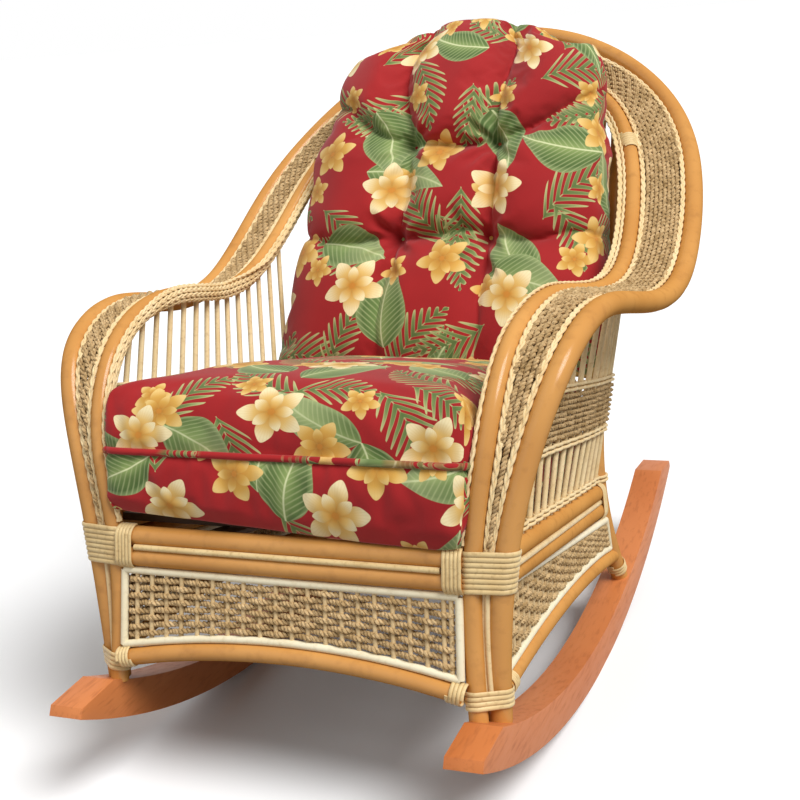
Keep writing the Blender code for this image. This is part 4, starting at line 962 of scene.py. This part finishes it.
def postsAt(feet, heads, ends, height):
    shares = (height - feet[:, 2]) / (heads[:, 2] - feet[:, 2])
    first, last = (atHeight(path, height) for path in ends)
    return np.vstack([first, feet + (heads - feet) * shares[:, None], last])


def legRing(path, height, own):
    middle = atHeight(path, height)
    axis = headings(path)[nearest(path, middle)]
    ahead = unit(np.cross((1, 0, 0), axis))
    aside = np.cross(axis, ahead)
    turns = np.linspace(0, 2 * math.pi * 1.02, 42)
    spread = pole["rear"] + own * 0.8
    return middle + (np.cos(turns)[:, None] * ahead + np.sin(turns)[:, None] * aside) * spread


def addWickerPanel(name, panel, feet, heads, ends, stands):
    spokes = [evenly(spoke, 0.05) for spoke in zip(feet, heads)]
    addPiece(f"spokes.{name}", strandMesh(spokes, pole["spoke"], 10), creamReed, [stands])
    rise = unit(heads.mean(0) - feet.mean(0))
    low, high = panel["band"]
    count = max(3, round((high - low) / wicker["row"]))
    heights = [low + (high - low) * (k + 0.5) / count for k in range(count)]
    ropes, creams = [], []

    def roped(path, start=0.0):
        return twisted(path, rise, unit(np.cross(headings(path), rise)), wicker["ply"], wicker["lay"], start)

    for k, height in enumerate(heights):
        posts = postsAt(feet, heads, ends, height)
        for pair in (0, 1):
            row, wave = twine(posts, k + pair)
            wander = [noise.noise((s * 24.0, k * 3.1, pair * 0.7)) * wicker["wander"] for s in lengthsOf(row)]
            row = row + rise * np.array(wander)[:, None]
            out = unit(np.cross(headings(row), rise))
            weave = wave * (pole["spoke"] + wicker["ply"] * 1.3)
            path = row + out * weave[:, None] + rise * (wave * wicker["rise"])[:, None]
            ropes += roped(evenly(path, wicker["step"]), k + pair * 1.4)
    for height in panel["cream"]:
        posts = postsAt(feet, heads, ends, height)
        for phase in (0, 1):
            row, wave = twine(posts, phase)
            out = unit(np.cross(headings(row), rise))
            weave = wave * (pole["spoke"] + wicker["cream"])
            creams.append(row + out * weave[:, None] + rise * (np.roll(wave, 3) * wicker["rise"])[:, None])
    if panel is sidePanel:  # its rows turn round the rear leg
        creams += [legRing(ends[1], height, wicker["cream"]) for height in panel["cream"]]
        for height in heights:
            ropes += roped(legRing(ends[1], height, wicker["ply"] * 2))
    mesh = strandMesh(ropes, wicker["ply"] * 1.06, 6)
    addPiece(f"wickerRopes.{name}", mesh, seagrassRope, ())
    addPiece(f"wickerTwine.{name}", strandMesh(creams, wicker["cream"], 8), creamReed, ())


def addSideWicker():
    armStart = nearest(inner, atHeight(inner, wicker["armFront"]))
    legHeight, armHeight = wicker["armRear"]
    stop = np.array((inner[armStart][0], atHeight(rear, legHeight)[1], armHeight))
    arm = evenly(inner[armStart:nearest(inner, stop)], 0.002)
    shares = [(i + 0.5) / sidePanel["spokes"] for i in range(sidePanel["spokes"])]
    rail = level(rails["other"]["upper"])
    spokes = [spokeEnds(sideFront + (sideRear - sideFront) * share + rail, arm, share) for share in shares]
    feet, heads = (np.array(ends) for ends in zip(*spokes))
    for word, side in sides:
        addWickerPanel(f"side.{word}", sidePanel, flip(feet, side), flip(heads, side),
                       (flip(outer, side), flip(rear, side)), f"side_wicker_{word}")


def addBackWicker():
    hoop = mirrored(inner[nearest(inner, rear[-1]):])
    shares = [(i + 1.15) / (backPanel["spokes"] + 1.3) for i in range(backPanel["spokes"])]
    y, z = rearLeg["seat"][1:]
    spokes = [spokeEnds(np.array((backPanel["halfWidth"] * (1 - 2 * s), y, z)), hoop, s) for s in shares]
    feet, heads = (np.array(ends) for ends in zip(*spokes))
    addWickerPanel("back", backPanel, feet, heads, (rear, flip(rear)), "back_wicker")


addSideWicker()
addBackWicker()
print("wicker panels made")


# bindings of flat peel

peel = {"thick": 0.0027, "steps": 40, "off": 0.0004, "cover": 0.96}


def sweep(shape, places, segments=8):
    ring = bmesh.ops.create_circle(shape, cap_ends=True, segments=segments, radius=0.5, matrix=places[0])
    edges = list({e for v in ring["verts"] for e in v.link_edges})
    for before, after in zip(places, places[1:]):
        made = bmesh.ops.extrude_edge_only(shape, edges=edges)["geom"]
        fresh = [g for g in made if isinstance(g, bmesh.types.BMVert)]
        bmesh.ops.transform(shape, matrix=after @ before.inverted(), verts=fresh)
        known = set(fresh)
        edges = [g for g in made if isinstance(g, bmesh.types.BMEdge) and known.issuperset(g.verts)]
    bmesh.ops.edgeloop_fill(shape, edges=edges)


# winds peel round poles, given as circles in the plane of first and second
def wrapRound(name, circlesAt, origin, first, second, axis, start, length, turns, stands=()):
    origin, first, second, axis = (np.array(v, float) for v in (origin, first, second, axis))
    pitch = length / (turns + 1)
    off = peel["off"] + peel["thick"] / 2
    places = []
    for i in range(turns * peel["steps"] + 1):
        angle = 2 * math.pi * (i / peel["steps"] + 0.25)
        along = start + pitch * (0.5 + i / peel["steps"])
        aim = np.array((math.cos(angle), math.sin(angle)))
        spots = [np.array((u, v)) + (radius + off) * aim for u, v, radius in circlesAt(along)]
        spot = max(spots, key=lambda s: s @ aim)
        middle = origin + first * spot[0] + second * spot[1] + axis * along
        out = first * aim[0] + second * aim[1]
        turned = Matrix((Vector(axis * pitch * peel["cover"]), Vector(out * peel["thick"]),
                         Vector(np.cross(axis, out)))).transposed()
        places.append(Matrix.Translation(middle) @ turned.to_4x4())
    shape = bmesh.new()
    sweep(shape, places)
    addPiece(name, fromBmesh(shape), creamPeel, stands)


def wrapPole(name, path, point, radius, length, turns, side, stands=()):
    i = nearest(path, point)
    axis = headings(path)[i]
    across = unit(np.cross(axis, (0.05, 1, 0.2)))
    wrapRound(name, lambda _: [(0, 0, radius)], flip(path[i], side), flip(across, side),
              flip(np.cross(axis, across), side), flip(axis, side), -length / 2, length, turns, stands)


# a start where one is given, then a length and a number of turns
binding = {"seat": (0.229, 0.0584, 8), "foot": (0.0300, 4), "rail": (0.2120, 0.0300, 5),
           "rearFoot": (0.0219, 3), "splice": (0.036, 6), "arch": (0.025, 4), "sideArch": (0.022, 4),
           "sideRail": (-0.011, 0.030, 5), "top": (-0.022, 0.044, 7), "aboveFoot": 0.012,
           "aboveRearFoot": 0.017, "proud": 0.0015, "lower": 0.0028, "archSpan": 0.237,
           "archSpot": (0.2305, 0.112)}


def frontLegCircles(height):
    a, b = atHeight(inner, height), atHeight(outer, height)
    return [(a[0], a[1], pole["inner"]), (b[0], b[1], pole["outer"])]


def addBindings():
    frontY, other = rails["frontY"], rails["other"]
    frontCircles = [(frontY, height, pole["rail"]) for height in rails["front"].values()]
    around = pole["rear"] + binding["proud"]
    sideCircles = [(0, other["upper"], around), (binding["lower"], other["lower"], around)]
    archHeight, archRise, span = apron["archFront"], apron["rise"], binding["archSpan"]
    archEnd = np.array([(x, frontY, archHeight + archRise * (1 - (x / span) ** 2))
                        for x in np.linspace(0.10, 0.25, 60)])
    archSpot = np.array((binding["archSpot"][0], frontY, binding["archSpot"][1]))
    sideEnd = bentLine(sideArch, 0.002)
    rearFoot = atHeight(rear, rearFootTop + binding["aboveRearFoot"])
    along = unit(sideFront - sideRear)
    out = np.cross((0, 0, 1), along)
    for word, side in sides:
        upright = ((0, 0, 0), (side, 0, 0), (0, 1, 0), (0, 0, 1))
        wrapRound(f"seatBinding.{word}", frontLegCircles, *upright, *binding["seat"],
                  [f"seat_binding_{word}"])
        wrapRound(f"footBinding.{word}", frontLegCircles, *upright, frontFootTop + binding["aboveFoot"],
                  *binding["foot"], [f"foot_binding_{word}"])
        wrapRound(f"railBinding.{word}", lambda _: frontCircles, (0, 0, 0), (0, 1, 0), (0, 0, 1),
                  (side, 0, 0), *binding["rail"], [f"rail_binding_{word}"])
        wrapPole(f"rearFootBinding.{word}", rear, rearFoot, pole["rear"], *binding["rearFoot"], side,
                 [f"rear_foot_binding_{word}"])
        wrapPole(f"spliceBinding.{word}", inner, inner[splice], pole["inner"], *binding["splice"], side)
        wrapPole(f"archBinding.{word}", archEnd, archSpot, pole["arch"], *binding["arch"], side)
        wrapPole(f"sideArchBinding.{word}", sideEnd, sideEnd[5], pole["arch"], *binding["sideArch"], side)
        wrapRound(f"sideRailBinding.{word}", lambda _: sideCircles, flip(sideRear, side), flip(out, side),
                  (0, 0, 1), flip(along, side), *binding["sideRail"])
    wrapRound("topBinding", lambda _: [(0, 0, pole["outer"])], outer[-1], (0, 1, 0), (0, 0, 1), (1, 0, 0),
              *binding["top"])


addBindings()

legStrip = {"radius": 0.0034, "aboveFoot": 0.020, "top": 0.296, "rows": ((0.52, 0.0062), (0.40, 0.0015))}


# reed strips in the groove between the two poles of each front leg
def addLegStrips():
    lines = []
    for share, forward in legStrip["rows"]:
        line = []
        for z in np.linspace(frontFootTop + legStrip["aboveFoot"], legStrip["top"], 24):
            a, b = atHeight(inner, z), atHeight(outer, z)
            out = unit(np.array((b[1] - a[1], a[0] - b[0], 0.0)))
            out = out if out[1] < 0 else -out
            line.append(a + (b - a) * share + out * forward)
        lines.append(np.array(line))
    for word, side in sides:
        mesh = strandMesh([flip(line, side) for line in lines], legStrip["radius"], 10)
        addPiece(f"legStrips.{word}", mesh, creamReed, ())


addLegStrips()
print("bindings and strips made")


# cushions

def boxGrid(cells):
    shape = bmesh.new()
    bmesh.ops.create_cube(shape, size=2.0)
    for axis, count in enumerate(cells):
        edges = [e for e in shape.edges if abs((e.verts[0].co - e.verts[1].co)[axis]) > 1.0]
        bmesh.ops.subdivide_edges(shape, edges=edges, cuts=count - 1, use_grid_fill=True)
    return shape


def roundCorner(u, v, power):
    size = max(abs(u), abs(v))
    if size < 1e-9:
        return 0.0, 0.0
    length = (abs(u) ** power + abs(v) ** power) ** (1 / power)
    return u * size / length, v * size / length


def within(value, low, high):
    return min(max((value - low) / (high - low), 0.0), 1.0)


def bell(distance, width):
    return math.exp(-(distance / width) ** 2)


def panelOf(normal):
    axis = max(range(3), key=lambda i: abs(normal[i]))
    return (("left", "right"), ("front", "back"), ("bottom", "top"))[axis][normal[axis] > 0]


def shapePad(cells, placeOf, spreadOf, heldOf):
    shape = boxGrid(cells)
    layer = shape.loops.layers.uv.new("UVMap")
    weights = shape.verts.layers.deform.verify()
    for face in shape.faces:
        panel = panelOf(face.normal)
        middle = face.calc_center_median()
        for loop in face.loops:
            at = loop.vert.co
            loop[layer].uv = spreadOf(at.x, at.y, at.z * 0.999 + middle.z * 0.001, panel)
    for vert in shape.verts:
        vert[weights][0] = heldOf(*vert.co)
        vert.co = placeOf(*vert.co)
    bmesh.ops.recalc_face_normals(shape, faces=shape.faces)
    return fromBmesh(shape)


# swells the cover like a filled one, and keeps each point near where it was sewn
def puff(piece, pressure, cap):
    piece.vertex_groups.new(name="held")
    cloth = piece.modifiers.new("puff", "CLOTH")
    cover = cloth.settings
    cover.quality = 6
    cover.mass = 0.25
    cover.tension_stiffness = cover.compression_stiffness = 14
    cover.shear_stiffness = 6
    cover.bending_stiffness = 0.3
    cover.shrink_min = -0.035
    cover.vertex_group_mass = "held"
    cover.pin_stiffness = 1.0
    cover.use_pressure = True
    cover.uniform_pressure_force = pressure
    cover.effector_weights.gravity = 0
    cloth.collision_settings.use_collision = False
    for step in range(1, 21):
        scene.frame_set(step)
    swelled = piece.evaluated_get(bpy.context.evaluated_depsgraph_get()).to_mesh()
    after, before = (np.empty(len(piece.data.vertices) * 3) for _ in range(2))
    swelled.vertices.foreach_get("co", after)
    piece.data.vertices.foreach_get("co", before)
    moved = (after - before).reshape(-1, 3)
    far = np.linalg.norm(moved, axis=1, keepdims=True)
    moved *= np.tanh(far / cap) * cap / np.maximum(far, 1e-9)
    piece.modifiers.remove(cloth)
    piece.data.vertices.foreach_set("co", before + moved.ravel())
    piece.data.update()
    scene.frame_set(1)
    print(f"{piece.name} swelled by up to {far.max() * 1000:.1f} mm, kept to {cap * 1000:.0f} mm")


def addPad(name, pad, mesh, stands):
    piece = addPiece(name, mesh, printedCloth, stands, close=False)
    mesh.set_sharp_from_angle(angle=math.pi)
    puff(piece, pad["pressure"], pad["cap"])
    piece.vertex_groups.clear()
    finer = piece.modifiers.new("finer", "SUBSURF")
    finer.levels = finer.render_levels = 1


# seat cushion with a welt round it; its cloth values say where the panels are cut from the print
seatPad = {"halfWidth": 0.2525, "front": -0.385, "depth": 0.571, "bottom": 0.2923, "edge": 0.172,
           "crown": 0.023, "drop": 0.007, "welt": 0.385, "cells": (66, 66, 22), "weltRow": 12, "tilt": 0.013,
           "hollow": 0.004, "pressure": 3.0, "cap": 0.009, "fill": 0.8, "weltRadius": 0.0046,
           "weltOut": 0.0030, "cloth": {"bottom": (0.0, 3.0), "ends": (0.37, 1.13), "sides": (0.61, 0.47)}}
seatSeam = seatPad["weltRow"] / seatPad["cells"][2]
weltLevel = 2 * seatSeam - 1


def seatTop(across, along):
    fall = (1 - abs(across) ** 2.6) * (1 - abs(along) ** 2.6)
    return seatPad["edge"] + seatPad["crown"] * fall - seatPad["drop"] * max(abs(across), abs(along)) ** 12


# below, the near left corner rides up, and the front edge sags past the rail
def seatHeight(across, along, share):
    welt, side = seatPad["welt"], max(abs(across), abs(along))
    lifted = seatPad["tilt"] * within(across, 0.45, -1.0) * within(along, -0.45, -1.0)
    lip = (0.0140 + 0.007 * across) * within(along, -0.93, -1.0)
    bottom = seatPad["bottom"] + 0.008 * side ** 10 + lifted - lip
    if share < seatSeam:
        return bottom + (welt - bottom) * share / seatSeam
    top = seatPad["bottom"] + seatTop(across, along)
    return welt + (top - welt) * (share - seatSeam) / (1 - seatSeam)


# how far the sides are drawn in: at the top and bottom edges and at the welt
def seatInset(share, fromWelt):
    inset = 0.007 * within(share, 0.76, 1.0) ** 3 + 0.012 * within(share, 0.14, 0.0) ** 2
    inset += 0.008 * within(share, seatSeam, 0.0) ** 1.5
    inset -= 0.0035 * math.sin(math.pi * within(share, seatSeam, 1.0))
    return inset + 0.0055 * bell(fromWelt, 0.010)


def seatPucker(across, along, w, fromWelt):
    gather = noise.noise((across * 21.0, along * 21.0, 0.0)) * 0.0024 * bell(fromWelt, 0.022)
    pucker = noise.noise((across * 13.0, along * 13.0, w * 3.0)) * 0.0014 + gather
    return pucker + noise.noise((across * 4.0, along * 4.0, w * 1.2 + 5.0)) * 0.0035


def seatPlace(u, v, w):
    across, along = roundCorner(u, v, 16)
    share, rim = (w + 1) / 2, max(abs(across), abs(along)) ** 8
    z = seatHeight(across, along, share)
    fromWelt = z - seatPad["welt"]
    near = across if abs(along) > abs(across) else along
    out = seatPucker(across, along, w, fromWelt) - seatInset(share, fromWelt)
    out -= seatPad["hollow"] * (1 - near ** 2)
    half = seatPad["depth"] / 2
    corner = 0.004 * within(share, 0.76, 1.0) ** 3
    onSide = abs(across) >= abs(along)
    x = across * (seatPad["halfWidth"] + (out * rim if onSide else -corner))
    ear = 0.009 * within(across, -0.80, -1.0) - 0.005 * within(across, 0.80, 1.0)
    x -= ear * within(along, -0.90, -0.97)  # ears in front of the poles
    y = seatPad["front"] + half + along * (half + (-corner if onSide else out * rim))
    if share > 0.99:
        z += noise.noise((x * 8.0, y * 8.0, 2.0)) * 0.0030
    return Vector((x, y, z))


def seatSpread(u, v, w, panel):
    x, y = u * seatPad["halfWidth"], seatPad["front"] + seatPad["depth"] * (v + 1) / 2
    way = -1 if panel in ("left", "front") else 1
    down = way * (1 - w) / 2 * (seatPad["edge"] + 0.02)
    kind = {"front": "ends", "back": "ends", "left": "sides", "right": "sides"}.get(panel)
    if kind is None:
        cut = seatPad["cloth"]["bottom"] if panel == "bottom" else (0.0, 0.0)
        return x + cut[0], y + cut[1]
    cut = seatPad["cloth"][kind] if w < weltLevel else (0.0, 0.0)
    return (x + cut[0], y + down + cut[1]) if kind == "ends" else (x + down + cut[0], y + cut[1])


def seatHeld(u, v, w):
    return 1.0 if w < -0.8 or (abs(w - weltLevel) < 0.02 and max(abs(u), abs(v)) > 0.99) else 0.0


def addSeatPad():
    addPad("seatPad", seatPad, shapePad(seatPad["cells"], seatPlace, seatSpread, seatHeld), ["seat_cushion"])
    line, count = [], 240
    for i in range(count):
        edge, share = divmod(i / count * 4, 1)
        s = share * 2 - 1
        u, v = ((s, -1), (1, s), (-s, 1), (-1, -s))[int(edge)]
        p = seatPlace(u, v, weltLevel)
        middle = Vector((0, seatPad["front"] + seatPad["depth"] / 2, p.z))
        line.append(p + (p - middle).normalized() * seatPad["weltOut"])
    line = np.array(line + line[:2])
    addPiece("seatWelt", strandMesh([line], seatPad["weltRadius"], 10), printedWelt, ())


addSeatPad()

# back cushion: two columns and two rows of tufts draw it into pillows
backPad = {"top": 1.056, "bottom": 0.4903, "thick": 0.132, "crown": 0.026, "halfWidth": 0.262, "gap": 0.004,
           "lean": 0.206 / 0.615, "shoulder": 0.862, "dome": 3.1, "off": 0.0095, "columns": (-0.29, 0.31),
           "tufts": (0.335, 0.604), "fan": (-0.26, 0.11), "climb": 0.15, "tuftDepth": 0.076, "crease": 0.058,
           "lobe": 0.066, "cells": (96, 12, 104), "pressure": 3.0, "cap": 0.007, "fill": 0.85,
           "seat": (0.251, -0.384, 0.570), "cloth": {"front": (0.93, 0.21), "back": (2.0, 1.4)},
           "clothBox": (0.25, 0.13, 0.60), "clothLow": 0.49}
button = {"size": (0.0105, 0.0048, 0.0105), "proud": 0.0040}
backHeight = backPad["top"] - backPad["bottom"]
hoopSide = inner[(inner[:, 2] > 0.625) & (inner[:, 0] > 0)]


def backPlane(z):
    y, seat = rearLeg["seat"][1:]
    return y + backPad["lean"] * (z - seat) - pole["rear"] - backPad["off"] - backPad["gap"]


def hoopRoom(z):
    return np.interp(z, hoopSide[:, 2], hoopSide[:, 0] - pole["inner"] - backPad["gap"])


def backHalf(z):
    room = min(backPad["halfWidth"], hoopRoom(min(z, backPad["shoulder"])))
    power = backPad["dome"]
    return room * (1 - within(z, backPad["shoulder"], backPad["top"]) ** power) ** (1 / power)


def lobe(distance):
    share = min(abs(distance) / backPad["lobe"], 1.0)
    return 1 - math.sqrt(1 - (1 - share) ** 2)  # a tight crease between two round pillows


def creases(across, share, half):
    wander = noise.noise((across * 2.4, share * 3.4, 7.0)) * 0.014
    above = within(share, backPad["tufts"][1], 1.0)
    column = max(lobe((across - c - fan * above) * half + wander)
                 for c, fan in zip(backPad["columns"], backPad["fan"]))
    column *= 0.30 + 0.70 * within(share, 0.06, 0.34)
    bent = (0.0, backPad["climb"] * within(abs(across), 0.30, 1.0))
    low, high = (lobe((share - r - b) * backHeight + wander * 1.2) for r, b in zip(backPad["tufts"], bent))
    apart = 1 - 0.40 * within(abs(across), 0.35, 1.0)
    return column, max(low * 0.85, high) * apart


def tuftPull(across, share, half):
    depth = max(creases(across, share, half)) * backPad["crease"]
    folds = 0.0
    for column in backPad["columns"]:
        for row in backPad["tufts"]:
            aside, above = (across - column) * half, (share - row) * backHeight
            r = math.hypot(aside, above)
            depth = max(depth, backPad["tuftDepth"] * math.exp(-(r / 0.028) ** 1.2))
            rays = math.cos(8 * math.atan2(above, aside) + column * 9 + row * 5)
            folds += 0.0060 * rays * bell(r - 0.032, 0.024)
    return depth + folds


def backThickness(edge, share):
    swell = (1 - edge ** 3) * (1 - abs(2 * share - 1) ** 4)
    thick = backPad["thick"] * (1 - 0.33 * share ** 3) + backPad["crown"] * swell
    return thick * (1 - 0.30 * edge ** 5) * (1 - 0.42 * share ** 8)


# how far the bottom sinks to lie on the seat cushion's crown
def seatHollow(x, y):
    half, front, depth = backPad["seat"]
    along = min(max((y - front) * 2 / depth - 1, -1.0), 1.0)
    return seatPad["edge"] + seatPad["crown"] - seatTop(min(abs(x) / half, 1.0), along)


def backPlace(u, v, w):
    share, edge = (w + 1) / 2, min(abs(u), 1.0)
    z = backPad["bottom"] + share * backHeight
    half = backHalf(min(z, backPad["top"] - 0.02)) - 0.010 * v * v + 0.016 * within(share, 0.34, 0.04)
    half -= 0.010 * bell(share - 0.52, 0.13) if u > 0 else 0.0
    column, row = creases(u, share, half)
    pull = tuftPull(u, share, half) * (1 - 0.55 * edge ** 8) * (1 - 0.5 * within(share, 0.93, 1.0))
    pleat = 0.0035 * math.sin(34 * math.atan2(share - 0.55, u)) * edge ** 3 * within(share, 0.55, 0.9)
    frontY = backPlane(z) - backThickness(edge, share) + pull + pleat
    frontY += noise.noise((u * 3.0, share * 5.0, 1.0)) * 0.005
    rearY = backPlane(z) - 0.012 * abs(u) ** 6 - 0.02 * share ** 12
    y = frontY + (rearY - frontY) * (v + 1) / 2
    x = u * half * (1 - 0.040 * row * edge ** 4) - 0.008 * within(share, 0.55, 1.0)
    sink = 0.050 * abs(u) ** 3 * max(share - 0.9, 0.0) / 0.1
    sink += 0.007 * column * within(share, 0.78, 1.0) ** 2  # the top edge dips at each crease
    sink += seatHollow(x, y) * (1 - share) ** 6
    return Vector((x, y - backPad["lean"] * sink, z - sink))


def backSpread(u, v, w, panel):
    half, deep, height = backPad["clothBox"]
    cut = backPad["cloth"]["back" if panel == "back" else "front"]
    x, z = u * half + cut[0], backPad["clothLow"] + (w + 1) / 2 * height + cut[1]
    way = -1 if panel in ("left", "bottom") else 1
    over = way * (v + 1) / 2 * deep
    if panel in ("left", "right"):
        return x + over, z
    return (x, z + over) if panel in ("top", "bottom") else (x, z)


def backHeld(u, v, w):
    share, half, height = (w + 1) / 2, 0.25, 0.566
    if v > 0.5 or w < -0.97:
        return 1.0
    if v > -0.99:
        return 0.0
    crease = max(creases(u, share, half))
    tuft = min(math.hypot((u - column) * half, (share - row) * height)
               for column in backPad["columns"] for row in backPad["tufts"])
    return 1.0 if tuft < 0.018 or crease > 0.62 else crease ** 3


def addBackPad():
    addPad("backPad", backPad, shapePad(backPad["cells"], backPlace, backSpread, backHeld), ["back_cushion"])
    lie = Matrix.Rotation(-math.atan(backPad["lean"]), 4, "X") @ Matrix.Diagonal((*button["size"], 1.0))
    for word, column in zip(("left", "right"), backPad["columns"]):
        for tier, row in zip(("lower", "upper"), backPad["tufts"]):
            seat = backPlace(column, -1.0, row * 2 - 1) - Vector((0, button["proud"], 0))
            shape = bmesh.new()
            bmesh.ops.create_uvsphere(shape, u_segments=24, v_segments=12, radius=1.0)
            bmesh.ops.transform(shape, matrix=Matrix.Translation(seat) @ lie, verts=shape.verts)
            addPiece(f"tuftButton.{tier}.{word}", fromBmesh(shape), printedWelt,
                     [f"tuft_button_{tier}_{word}"], close=False)


addBackPad()
print("cushions made")


# finishes of the frame parts that stay as they are
for name, piece in nodes.items():
    # the seat deck gets painted shade for the shadow under the seat cushion; the dowels keep a plain finish
    finish = deckPaintedShade if name == "seat_deck" else plainDowel if "_dowel_" in name else None
    if finish:
        piece.data.materials.clear()
        piece.data.materials.append(finish)


# floor and light; each lamp has a power, a spread in degrees and an aim

studio = {"floor": 0.97, "bounce": 0.26, "sky": 0.41, "floorSize": 400.0,
          "lamps": {"key": (3.05, 32, (-0.55, 0.26, -0.79)), "fill": (0.36, 60, (0.55, 0.70, -0.45))}}


def plainSight(tree):
    rays = newNode(tree, "LightPath", {}).outputs
    seen, glossy, through = (Shade(rays[f"Is {kind} Ray"]) for kind in ("Camera", "Glossy", "Transmission"))
    return calc("MAXIMUM", seen, calc("MAXIMUM", glossy, through))


def addStudio():
    shape = bmesh.new()
    bmesh.ops.create_grid(shape, x_segments=1, y_segments=1, size=studio["floorSize"])
    floor = bpy.data.objects.new("floor", fromBmesh(shape))
    scene.collection.objects.link(floor)
    material, tree, shader = newMaterial("paleFloor", 0.9, Specular_IOR_Level=0.0)
    tone = mixTone(plainSight(tree), (studio["bounce"],) * 3, (studio["floor"],) * 3)
    put(tone, shader["Base Color"])
    floor.data.materials.append(material)
    for name, (power, spread, aim) in studio["lamps"].items():
        lamp = bpy.data.lights.new(name, "SUN")
        lamp.energy = power
        lamp.angle = math.radians(spread)
        holder = bpy.data.objects.new(name, lamp)
        holder.rotation_euler = Vector(aim).to_track_quat("-Z", "Y").to_euler()
        scene.collection.objects.link(holder)
    world = bpy.data.worlds.new("sky")
    world.use_nodes = True
    scene.world = world
    back = world.node_tree.nodes["Background"].inputs
    put(plainSight(world.node_tree) * (1.0 - studio["sky"]) + studio["sky"], back["Strength"])
    back["Color"].default_value = (1, 1, 1, 1)


addStudio()
scene.view_settings.view_transform = "Standard"
print("studio set")
